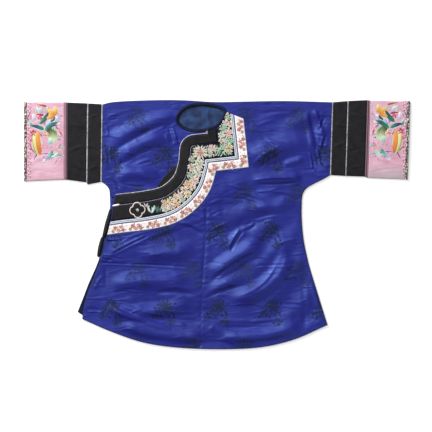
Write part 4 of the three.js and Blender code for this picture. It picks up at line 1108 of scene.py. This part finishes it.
left_back = np.vstack([left_side[:-1], BACK_HEM[-1]])
left_closed = left_side[left_side[:, 1] > LEFT_SEAM_END]
right_closed = right_side[right_side[:, 1] > RIGHT_SEAM_END]
beside = (overlap_side[:, 1] < UNDERLAP_SIDE[0]) & (overlap_side[:, 1] > UNDERLAP_SIDE[1])
right_front = np.vstack([right_closed, overlap_side[beside] + [UNDERLAP_INSET, 0],
                         [[UNDERLAP_CORNER, line_at(underlap_edge, UNDERLAP_CORNER)]]])
left_cloth = half_piece("left_half_silk", 1, LEFT_JOINT, left_side, left_back, front_hem, back_hem, front_top)
right_cloth = half_piece("right_half_silk", -1, RIGHT_JOINT, right_front, right_side, underlap_edge, back_hem,
                         yoke_top)
overlap_cloth = overlap_piece()
left_wall = seam_wall("left_side_seam", spaced(left_closed, 160), front_top)
right_wall = seam_wall("right_side_seam", spaced(right_closed, 40), yoke_top)
neck_cloth = neck_lining_piece()
neck_roll = neck_binding_piece()
vent_cloth = vent_facing_piece()
edge_cloth = edge_facing_piece()
ROLL_LEVEL = WALL + GAP
upper_roll = roll_piece("side_binding_upper_roll", (-317.6, 48), (-341.5, -42), 1, 14.5, 4.0, ROLL_LEVEL, black_satin)
lower_roll = roll_piece("side_binding_lower_roll", (-343, -36), (-356.5, -98), 0, 13, 3.6, ROLL_LEVEL, black_satin)

# ---- Trims of the overlap ----

PIPING_RISE = 1.2
TRIM_LEVEL = FRONT_TOP + OVERLAP_RISE + 0.6
edge_bead = strip_piece("overlap_edge_bead", -33.1, -30.3, 9,
                        lambda share: OVERLAP_RISE + PIPING_RISE * np.sqrt(np.clip(1 - (2 * share - 1) ** 2, 0, 1)),
                        piping_cotton, base=-OVERLAP_RISE)
black_band = strip_piece("overlap_black_satin", -30, -0.3, 13, rounded(1.3, 0.05), black_satin)
fine_bead = strip_piece("overlap_fine_bead", 0, 1.8, 7, rounded(1.9, 0.5), fine_piping)
piping_tail = roll_piece("edge_piping_tail", (-29.6, 282), (-29.2, 270.5), 0, 3.2, 1.6, TRIM_LEVEL, piping_cotton)
piping_stub = roll_piece("fine_piping_stub", (-313.5, 55.8), (-291, 59.8), 0, 6.4, 3.6, TRIM_LEVEL, ribbon_silk)
flower_band = strip_piece("embroidered_band_satin", 2.1, 45, 18, rounded(1.5, 0.04), black_satin)
silver_band = strip_piece("silver_braid_weave", 45.3, 57, 9, rounded(1.9, 0.2), silver_silk)
rose_band = strip_piece("white_ribbon_silk", 57.3, TRIM_END_OFFSET, 12, rounded(1.3, 0.05), ribbon_silk)

# ---- Sleeve ends ----

SLEEVE_CLOTHS = {"white_piping": grey_piping, "black_satin": black_satin, "plum_braid": plum_silk,
                 "pink_embroidered_satin": pink_satin(), "checked_edge_braid": checked_edging()}
# How far a tube's outer edge turns in: at the sleeve's open end, and where the next one meets it.
EDGE_TURN = {"edge_braid": 14}
MEETING_TURN = 1.2
sleeves = {1: [], -1: []}
for side, start, sleeve in ((1, LEFT_JOINT, "left"), (-1, RIGHT_JOINT, "right")):
    for part, slot, proud, bead, left_end, right_end in SLEEVE_PARTS:
        end = left_end if side > 0 else right_end
        sleeves[side].append(sleeve_piece(f"{sleeve}_sleeve_{part}", side, proud, bead, start, end,
                                          SLEEVE_CLOTHS[slot], EDGE_TURN.get(part, MEETING_TURN)))
        start = end

# ---- Embroidery ----

# Silk colours of a stitched flower: outer petals' root and tip, inner petals' root and tip, centre.
SILKS = {
    "cream": ("#b9ad8c", "#f6f1e2", "#cf8f88", "#ecc8bf", "#c0706c"),
    "white": ("#a3ae98", "#f4f3ea", "#9fae98", "#eceede", "#d2a29a"),
    "peach": ("#c98350", "#f0d9b4", "#cf7d62", "#efc09c", "#f0e6c0"),
    "pink": ("#c48f8c", "#f2ded8", "#cf9a98", "#f7e8e2", "#dcc084"),
    "green": ("#3f705a", "#c9dcc4", "#7fa284", "#e2e6cc", "#c98a80"),
    "teal": ("#0f7a5a", "#86cbb2", "#1d9a78", "#cfe6d6", "#efe6c0"),
    "yellow": ("#b3a06a", "#f1ebcb", "#b98f5c", "#f1e4bd", "#94643f"),
}
# Flowers of the band: x, y, radius, petals, silk.
BAND_FLOWERS = [
    (33, 321, 11, 11, "green"), (24, 306, 9, 7, "pink"), (39, 301, 11, 9, "cream"), (21, 290, 11, 7, "teal"),
    (33, 273, 18, 15, "pink"), (12, 268, 10, 9, "white"), (13, 251, 9, 8, "cream"), (44, 251, 11, 6, "teal"),
    (26, 250, 8, 7, "white"), (35, 229, 16, 14, "yellow"), (17, 232, 10, 7, "teal"), (4, 221, 11, 7, "teal"),
    (-14, 228, 14, 12, "pink"), (-20, 211, 9, 7, "green"), (-49, 215, 24, 22, "cream"),
    (-76, 196, 10, 7, "green"), (-52, 181, 17, 15, "white"), (-76, 172, 13, 11, "cream"),
    (-57, 155, 16, 13, "white"), (-79, 148, 12, 9, "green"), (-67, 132, 15, 11, "pink"),
    (-87, 120, 14, 12, "peach"), (-73, 112, 11, 8, "cream"), (-98, 103, 13, 11, "cream"),
    (-88, 90, 13, 11, "yellow"), (-110, 88, 12, 9, "pink"), (-104, 74, 12, 9, "green"),
    (-124, 80, 11, 9, "cream"), (-120, 62, 13, 11, "peach"), (-140, 72, 12, 10, "yellow"),
    (-138, 54, 13, 11, "cream"), (-155, 64, 11, 9, "peach"), (-155, 46, 11, 9, "white"),
]
# Single blocks: x, y, turn in degrees, length, width, bend in degrees, root, tip.
BAND_SPRIGS = [
    (-214, 52, 60, 15, 4, -20, "#d9c4c0", "#e9d0d2"), (-214, 52, 110, 14, 4, 20, "#b9868c", "#ecc8cc"),
    (-212, 52, 20, 12, 4, 20, "#8a8f90", "#cfd2cf"), (-199, 36, 112, 26, 7, -30, "#dfe9e4", "#b4d8cc"),
    (-197, 34, 66, 27, 8, 30, "#eef2ee", "#a9d6ca"), (-194, 34, 92, 20, 4, 10, "#7fb8aa", "#cfe6de"),
    (-176, 56, -100, 22, 8, -20, "#2b4f48", "#54786c"), (-172, 36, 75, 18, 7, 20, "#2b4a44", "#5f8f84"),
    (-181, 40, 100, 16, 4, -20, "#3c6258", "#6f9a8c"),
]
OUTLINE_FLOWER = (-238.5, 43.5, 22.5)  # x, y, radius
BAND_DENSE_TO = -166  # the flowers cover the band from the neck to this x
LEAF_SILKS = [("#3f7f66", "#b9dcc8"), ("#b9a67c", "#f2ead2"), ("#c79a92", "#f3e2dc"), ("#5a7f66", "#e0e4cc"),
              ("#cf9c6a", "#f4e4c4"), ("#a3ae94", "#f4f4ea"), ("#1c7f62", "#7fc6ac")]
# One spray of the cuffs: distance from the plum braid, y, turn, length, width, bend, root, tip.
CUFF_SPRAY = [
    (92, 192, 112, 50, 3.6, -30, "#54407a", "#7a6a9c"), (86, 214, 62, 40, 3.4, 50, "#5c4680", "#8a78a8"),
    (16, 204, 8, 66, 3.4, -34, "#3f2c3c", "#7a6a9c"), (98, 342, -70, 56, 3.2, -30, "#54407a", "#6f8a94"),
    (70, 208, 84, 74, 23, 44, "#d9731f", "#f0a24a"), (76, 206, 80, 78, 17, 42, "#c9d68a", "#eaf0b4"),
    (80, 208, 78, 72, 6, 42, "#a86a2c", "#e2cf7a"), (30, 246, 66, 54, 27, -52, "#e3ecb4", "#3c5426"),
    (22, 250, 74, 40, 14, -40, "#cfe2c0", "#5f7a3a"), (40, 240, 100, 26, 16, 30, "#8fd0c4", "#d9ece0"),
    (58, 282, 148, 50, 16, 30, "#12876a", "#0f5f58"), (60, 284, 20, 40, 13, -30, "#14906f", "#2b3a66"),
    (74, 302, 130, 46, 15, -34, "#11836a", "#1f4a52"), (34, 222, -60, 30, 11, 20, "#12876a", "#7fd0c0"),
    (14, 214, -30, 24, 12, 20, "#7fcfc6", "#dff0ea"), (48, 200, -40, 20, 9, -20, "#8f9fd0", "#dfe2f2"),
    (24, 330, 30, 30, 17, 40, "#d98a22", "#f2c65a"), (22, 330, 80, 26, 15, 30, "#e0982e", "#f4d27a"),
    (26, 328, -16, 32, 15, 30, "#cf7a20", "#edb24a"), (20, 326, -70, 22, 12, 20, "#e8e4f2", "#aebbe0"),
    (26, 322, -40, 24, 7, 70, "#1c2148", "#33406f"), (40, 316, -60, 26, 12, 30, "#d3d8ee", "#9fb4d9"),
    (10, 306, -20, 30, 8, 60, "#f2eef6", "#222a56"), (64, 336, 40, 26, 13, 20, "#a8c4dd", "#dfe9f0"),
    (60, 326, 8, 26, 8, -50, "#8f1f3a", "#c7405f"), (88, 312, 80, 22, 10, 20, "#c4cde6", "#e9dff0"),
    (94, 292, 60, 22, 9, -20, "#12806a", "#8fcfc0"), (52, 354, 12, 30, 8, -10, "#9c2f2a", "#d97a4a"),
    (96, 224, 40, 12, 8, 20, "#c23a5c", "#e88aa0"), (6, 262, 70, 20, 9, -20, "#e9a8ba", "#c7405f"),
    (10, 286, 20, 16, 7, 20, "#e7b0c4", "#b8305a"), (44, 268, 10, 18, 9, 20, "#f2c9a0", "#e0982e"),
]
# Small blossoms of the cuffs: distance from the braid, y, radius, petals, root, tip.
CUFF_BLOSSOMS = [(92, 274, 11, 5, "#8f1438", "#e04a74"), (98, 254, 7, 5, "#a81f45", "#ee8aa4"),
                 (72, 320, 8, 5, "#a81f45", "#e86a8c"), (14, 232, 7, 5, "#d9607f", "#f4b4c4")]
CUFF_LEAVES = 110
CUFF_LEAF_SILKS = [("#8fc8bc", "#cfdcd6"), ("#b7a8c8", "#dcc8d8"), ("#d98aa4", "#ecc0cc"), ("#93ad80", "#cfd2b8"),
                   ("#d9607f", "#efb0c0"), ("#dba65c", "#ecd0a8"), ("#6a5484", "#b09cc0"), ("#6fb0a8", "#bcccd0")]
DOT_SILKS = ["#b8506c", "#f4dce0", "#c9708a", "#8f3a54", "#efc9d2"]
CUFF_INNER_X = 459
BLOCK_ROWS = 9
# Roses of a group on the ribbon: run, distance aside, radius, shade, with the shades' roots and tips, and its dots.
ROSES = [(8, 4.2, 8.6, 0), (14, -5, 8.0, 1), (23, 3.8, 9.0, 1), (31, -4.5, 8.8, 0), (39, 4.2, 7.4, 2)]
ROSE_SILKS = [("#8f3338", "#dfa8a2"), ("#b25a58", "#edc4bc"), ("#8a6a4c", "#d6bc9e")]
ROSE_DOTS = [(2, -6, "#9fae8a"), (45, -6, "#c98f84"), (48, 5, "#dba0a0"), (21, -9, "#b9b08a")]
ROSE_STEP = 54


def rings_of_petals(x, y, radius, count, silk, turn=0.0):
    """The blocks of one flower: an outer ring from a third of the radius out, an inner ring between, and knots."""
    outer_root, outer_tip, inner_root, inner_tip, centre = silk
    blocks = []
    for reach, start, number, root, tip, lift in (
        (0.70, 0.30, count, outer_root, outer_tip, 0.10),
        (0.50, 0.10, max(5, count - 3), inner_root, inner_tip, 0.30),
        (0.22, 0.02, 5, centre, centre, 0.50),
    ):
        width = 2 * math.pi * radius * (start + reach * 0.55) / number * 0.82
        for k in range(number):
            angle = turn + 360 * (k + 0.31 * lift * 10) / number + 9 * math.sin(k * 2.4 + x)
            place_x = x + radius * start * math.cos(math.radians(angle))
            place_y = y + radius * start * math.sin(math.radians(angle))
            length = radius * reach * (1 + 0.12 * math.sin(k * 3.7 + y))
            blocks.append((place_x, place_y, angle, length, width, 14 * math.sin(k * 1.7), root, tip, lift))
    return blocks


def stitched(name, blocks, surface, blunt=0.75):
    """Blocks of satin stitch. Along a block, u from root to tip, its spine is an arc that turns by the bend, and its
    half width is the width's half times sin(pi u^0.8) to a power. Across it, v from -1 to 1, it swells by 1 - v²."""
    x, y, turn, length, width, bend, lift = np.array([row[:6] + (row[8],) for row in blocks]).T[..., None]
    u = np.linspace(0, 1, BLOCK_ROWS)[None]
    v = np.array([-1, -0.55, 0, 0.55, 1])
    heading = np.radians(turn + bend * (u - 0.5))
    ahead = np.stack([np.cos(heading), np.sin(heading)], axis=-1)
    step = ahead * (length / (BLOCK_ROWS - 1) * (u > 0))[..., None]
    spine = np.stack([x, y], axis=-1) + np.cumsum(step, axis=1)
    half = (width / 2 * np.sin(np.pi * np.minimum(u, 1) ** 0.8) ** blunt * (u < 1))[..., None]
    aside = np.stack([-ahead[..., 1], ahead[..., 0]], axis=-1)
    plan = spine[:, :, None] + aside[:, :, None] * (half * v)[..., None]
    swell = np.minimum(0.55, 0.09 * width) * np.sin(np.pi * u) ** 0.5
    points = lifted(plan, surface)
    points[..., 2] += (lift + swell)[..., None] * (1 - v * v) - 0.1 * v * v
    uv = np.stack(np.broadcast_arrays((u * length)[..., None] * MM, half * v * MM), axis=-1)
    root, tip = (np.array([linear(row[k])[:3] for row in blocks])[:, None] for k in (6, 7))
    tint = root + (tip - root) * smoothstep(u, 0.05, 0.8)[..., None]
    firsts = np.arange(len(blocks))[:, None, None] * BLOCK_ROWS * len(v)
    faces = (grid_faces(BLOCK_ROWS, len(v), flip=True) + firsts).reshape(-1, 4)
    return make_piece(name, points, faces, floss, uv=uv, tint=np.repeat(tint[:, :, None], len(v), axis=2))


def along_line(line, run, aside):
    """The place at a length along a line and a distance to its left, and its heading in degrees."""
    lengths = run_lengths(line)
    here, ahead = (np.array([np.interp(at, lengths, line[:, k]) for k in (0, 1)]) for at in (run, run + 2))
    along = (ahead - here) / max(np.linalg.norm(ahead - here), 1e-6)
    place = here + aside * np.array([-along[1], along[0]])
    return place[0], place[1], math.degrees(math.atan2(along[1], along[0]))


def band_blocks():
    """The band's flowers, with leaves and tendrils between them along both of its sides, and its sprigs."""
    blocks = []
    chance = np.random.default_rng(7)
    for distance, outwards in ((5.5, 1), (11, 1), (17, 1), (24, -1), (31, -1), (37, -1), (41.5, -1)):
        line = rail(distance)
        for run in np.arange(5, run_lengths(line)[-1] - 5, 7.0):
            x, y, heading = along_line(line, run + chance.uniform(-2, 2), chance.uniform(-2, 2))
            silk = LEAF_SILKS[chance.integers(len(LEAF_SILKS))]
            turn = heading + outwards * chance.uniform(30, 150)
            size = chance.uniform(7, 11)
            if x > BAND_DENSE_TO:
                blocks.append((x, y, turn, size, size * 0.36, chance.uniform(-50, 50), *silk, 0.05))
    for x, y, radius, count, silk in BAND_FLOWERS:
        blocks += rings_of_petals(x, y, radius, count, SILKS[silk], turn=7 * x)
    blocks += [(*row, 0.1) for row in BAND_SPRIGS]
    x, y, radius = OUTLINE_FLOWER
    for angle in np.arange(0, 360, 6.0):
        theta = math.radians(angle)
        reach = radius * (0.7 + 0.3 * abs(math.cos(2 * theta)) ** 0.7)
        blocks.append((x + reach * math.cos(theta), y + reach * math.sin(theta), angle + 90, 5.5, 3.6, 10, "#e2d3c8",
                       "#efe6dc" if angle % 24 < 12 else "#e6b8bc", 0.1))
    return blocks + rings_of_petals(x, y, 5, 5, SILKS["white"])


def ribbon_blocks():
    """Roses on the ribbon in close groups of five every 54 mm, each of two rings of petals turned by chance, with
    olive leaves under them and dots between the groups."""
    line = rail(TRIM_END_OFFSET - 13.8)
    total = run_lengths(line)[-1]
    chance = np.random.default_rng(5)
    blocks = []
    for start in np.linspace(6, total - ROSE_STEP + 2, round((total - 58) / ROSE_STEP) + 1):
        for run, aside, radius, silk in ROSES:
            x, y, heading = along_line(line, start + run, aside)
            blocks.append((x, y, heading + chance.uniform(160, 240), radius * 1.5, radius * 0.45, 40, "#6f7c55",
                           "#aab488", 0.05))
            for ring, reach, width in ((5, 0.85, 0.8), (4, 0.55, 0.6)):
                turned = chance.uniform(0, 90)
                for turn in turned + 360 * np.arange(ring) / ring:
                    root_tip = ROSE_SILKS[silk][::int(chance.choice([1, 1, -1]))]
                    blocks.append((x, y, turn, radius * reach, radius * width, 24, *root_tip, 0.15))
        for run, aside, silk in ROSE_DOTS:
            x, y, heading = along_line(line, start + run, aside)
            blocks.append((x - 1.5, y, heading, 4.0, 3.0, 0, silk, silk, 0.1))
    return blocks


def cuff_blocks(side):
    """One cuff: the spray's blocks, each on a paler and wider one that shows as its outline, small leaves between
    them, the blossoms, and two columns of dots beside the edge braid. The right cuff's is the left one's turned over,
    6 mm lower."""
    drop = 6 if side > 0 else 0
    blocks = []
    chance = np.random.default_rng(11)

    def put(away, y, turn, length, width, bend, root, tip, lift):
        """Adds a block at a distance from the plum braid, turned over on the right cuff."""
        blocks.append((side * (CUFF_INNER_X + away), y + drop, turn if side > 0 else 180 - turn, length, width,
                       side * bend, root, tip, lift))

    for _ in range(CUFF_LEAVES):
        silk = CUFF_LEAF_SILKS[chance.integers(len(CUFF_LEAF_SILKS))]
        ranges = ((7, 97), (192, 354), (0, 360), (8, 17), (3, 5.5), (-70, 70))
        put(*(chance.uniform(*limits) for limits in ranges), *silk, 0.03)
    for row, (away, y, turn, length, width, bend, *silk) in enumerate(CUFF_SPRAY):
        if width > 6:
            heading = math.radians(turn - bend / 2)
            put(away - 2.6 * math.cos(heading), y - 2.6 * math.sin(heading), turn, length + 5.2, width + 5, bend,
                "#ecd2d8", "#f2e8e6", -0.42)
        put(away, y, turn, length, width, bend, *silk, 0.1 + 0.01 * row)
    for away, y, radius, count, root, tip in CUFF_BLOSSOMS:
        silk = (root, tip, tip, root, "#f0d890")
        blocks += rings_of_petals(side * (CUFF_INNER_X + away), y + drop, radius, count, silk)
    for row, y in enumerate(np.arange(140, 362, 5.5)):
        for away, shift in ((100.5, 0), (106.5, 2.7)):
            silk = DOT_SILKS[(row + int(shift)) % len(DOT_SILKS)]
            put(away, y + shift, 90 + 40 * math.sin(row), 4.2, 3.4, 0, silk, silk, 0.1)
    return blocks


band_stitches = stitched("band_flowers", band_blocks(), lambda x, y: front_top(x, y) + 1.5)
ribbon_stitches = stitched("ribbon_roses", ribbon_blocks(), lambda x, y: front_top(x, y) + 1.3)
cuff_stitches = {}
for side, sleeve in ((1, "left"), (-1, "right")):
    cuff_stitches[side] = stitched(f"{sleeve}_cuff_spray", cuff_blocks(side),
                                   lambda x, y: sleeve_top(x, y, CUFF_PROUD) + 0.05, blunt=0.6)

# ---- The floor, the camera and the lights ----

FLOOR = 40000
VIEW_WIDTH = 1.296
CAMERA_HEIGHT = 12.0

floor_material, floor_tree = new_material(
    "white_matt_board", "#f4f4f4", Roughness=1.0, Specular_IOR_Level=0.0, Emission_Color=linear("#ffffff"),
    Emission_Strength=0.35)
floor = make_piece("floor", FLOOR * np.array([(-1, -1, 0), (1, -1, 0), (1, 1, 0), (-1, 1, 0)]) - [0, 0, 0.2],
                   np.array([[0, 1, 2, 3]]), floor_material)

camera_data = bpy.data.cameras.new("camera")
camera_data.sensor_width = 36
camera_data.lens = 36 * CAMERA_HEIGHT / VIEW_WIDTH
camera_data.clip_end = 30
camera = bpy.data.objects.new("camera", camera_data)
camera.location = (-0.003, 0.0255, CAMERA_HEIGHT)
bpy.context.scene.collection.objects.link(camera)
bpy.context.scene.camera = camera


def area_light(name, place, size, power):
    """A square soft light at a place, turned to the jacket's middle."""
    data = bpy.data.lights.new(name, "AREA")
    data.size = size
    data.energy = power
    light = bpy.data.objects.new(name, data)
    light.location = place
    light.rotation_euler = (-Vector(place)).to_track_quat("-Z", "Y").to_euler()
    bpy.context.scene.collection.objects.link(light)


area_light("key", (-4.4, 5.2, 3.0), 2.6, 690)
area_light("gloss", (-5.0, 4.2, 11.2), 3.0, 800)
area_light("fill", (1.4, -2.0, 2.4), 2.0, 12)
world = bpy.data.worlds.new("studio")
world.use_nodes = True
background = world.node_tree.nodes["Background"].inputs
background[0].default_value = (1, 1, 1, 1)
background[1].default_value = 0.08
bpy.context.scene.world = world
bpy.context.scene.view_settings.view_transform = "Standard"

# ---- What each piece stands for: piece, slot and node ----

STANDS_FOR = [
    (left_cloth, "blue_silk_damask", "left_half"),
    (right_cloth, "blue_silk_damask", "right_half"),
    (overlap_cloth, "blue_silk_damask", "overlap_front"),
    (left_wall, "blue_silk_damask", None),
    (right_wall, "blue_silk_damask", None),
    (neck_cloth, "teal_lining", "neck_lining"),
    (neck_roll, "navy_binding", "neck_binding"),
    (vent_cloth, "navy_binding", "vent_facing"),
    (edge_cloth, "black_satin", "overlap_edge_facing"),
    (upper_roll, "black_satin", "side_binding_upper"),
    (lower_roll, "black_satin", "side_binding_lower"),
    (edge_bead, "white_piping", "overlap_edge_piping"),
    (piping_tail, "white_piping", None),
    (piping_stub, "white_piping", None),
    (black_band, "black_satin", "overlap_black_band"),
    (fine_bead, "white_piping", "overlap_fine_piping"),
    (flower_band, "embroidered_ribbon", "embroidered_band"),
    (silver_band, "silver_blue_braid", "silver_braid"),
    (rose_band, "white_ribbon", "white_ribbon"),
]
for side in (1, -1):
    for piece, (_, slot, *_) in zip(sleeves[side], SLEEVE_PARTS):
        STANDS_FOR.append((piece, slot, piece.name.removesuffix("_cloth")))
STANDS_FOR += [
    (band_stitches, "embroidered_ribbon", None),
    (ribbon_stitches, "white_ribbon", None),
    (cuff_stitches[1], "pink_embroidered_satin", None),
    (cuff_stitches[-1], "pink_embroidered_satin", None),
]
for piece, slot, node in STANDS_FOR:
    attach(piece, "root")
    if node:
        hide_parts(node)

# ---- The cloths' cuts: piece, width and length in m, area in m², what it lies on, and its fittings ----

SHEETS = [
    (left_cloth, (0.39, 1.49), 0.465, floor, [left_wall]),
    (right_cloth, (0.385, 1.24), 0.35, floor, [right_wall]),
    (overlap_cloth, (0.375, 0.645), 0.155, right_cloth, [edge_bead, fine_bead, piping_tail, piping_stub]),
    (neck_cloth, (0.146, 0.082), 0.0095, left_cloth, []),
    (neck_roll, (0.014, 0.36), None, left_cloth, []),
    (vent_cloth, (0.027, 0.18), None, right_cloth, []),
    (edge_cloth, (0.021, 0.11), 0.0016, right_cloth, []),
    (upper_roll, (0.019, 0.094), 0.0016, right_cloth, []),
    (lower_roll, (0.017, 0.065), 0.001, right_cloth, []),
    (black_band, (0.031, 0.46), None, overlap_cloth, []),
    (flower_band, (0.045, 0.53), None, overlap_cloth, [band_stitches]),
    (silver_band, (0.014, 0.58), None, overlap_cloth, []),
    (rose_band, (0.029, 0.62), None, overlap_cloth, [ribbon_stitches]),
]
for side in (1, -1):
    piping, inner_band, outer_piping, outer_band, braid, cuff, edge = sleeves[side]
    SHEETS += [
        (inner_band, (0.043, 0.46), None, floor, [piping]),
        (outer_band, (0.055, 0.46), None, floor, [outer_piping]),
        (braid, (0.012, 0.47), None, floor, []),
        (cuff, (0.112, 0.48), None, floor, [edge, cuff_stitches[side]]),
    ]
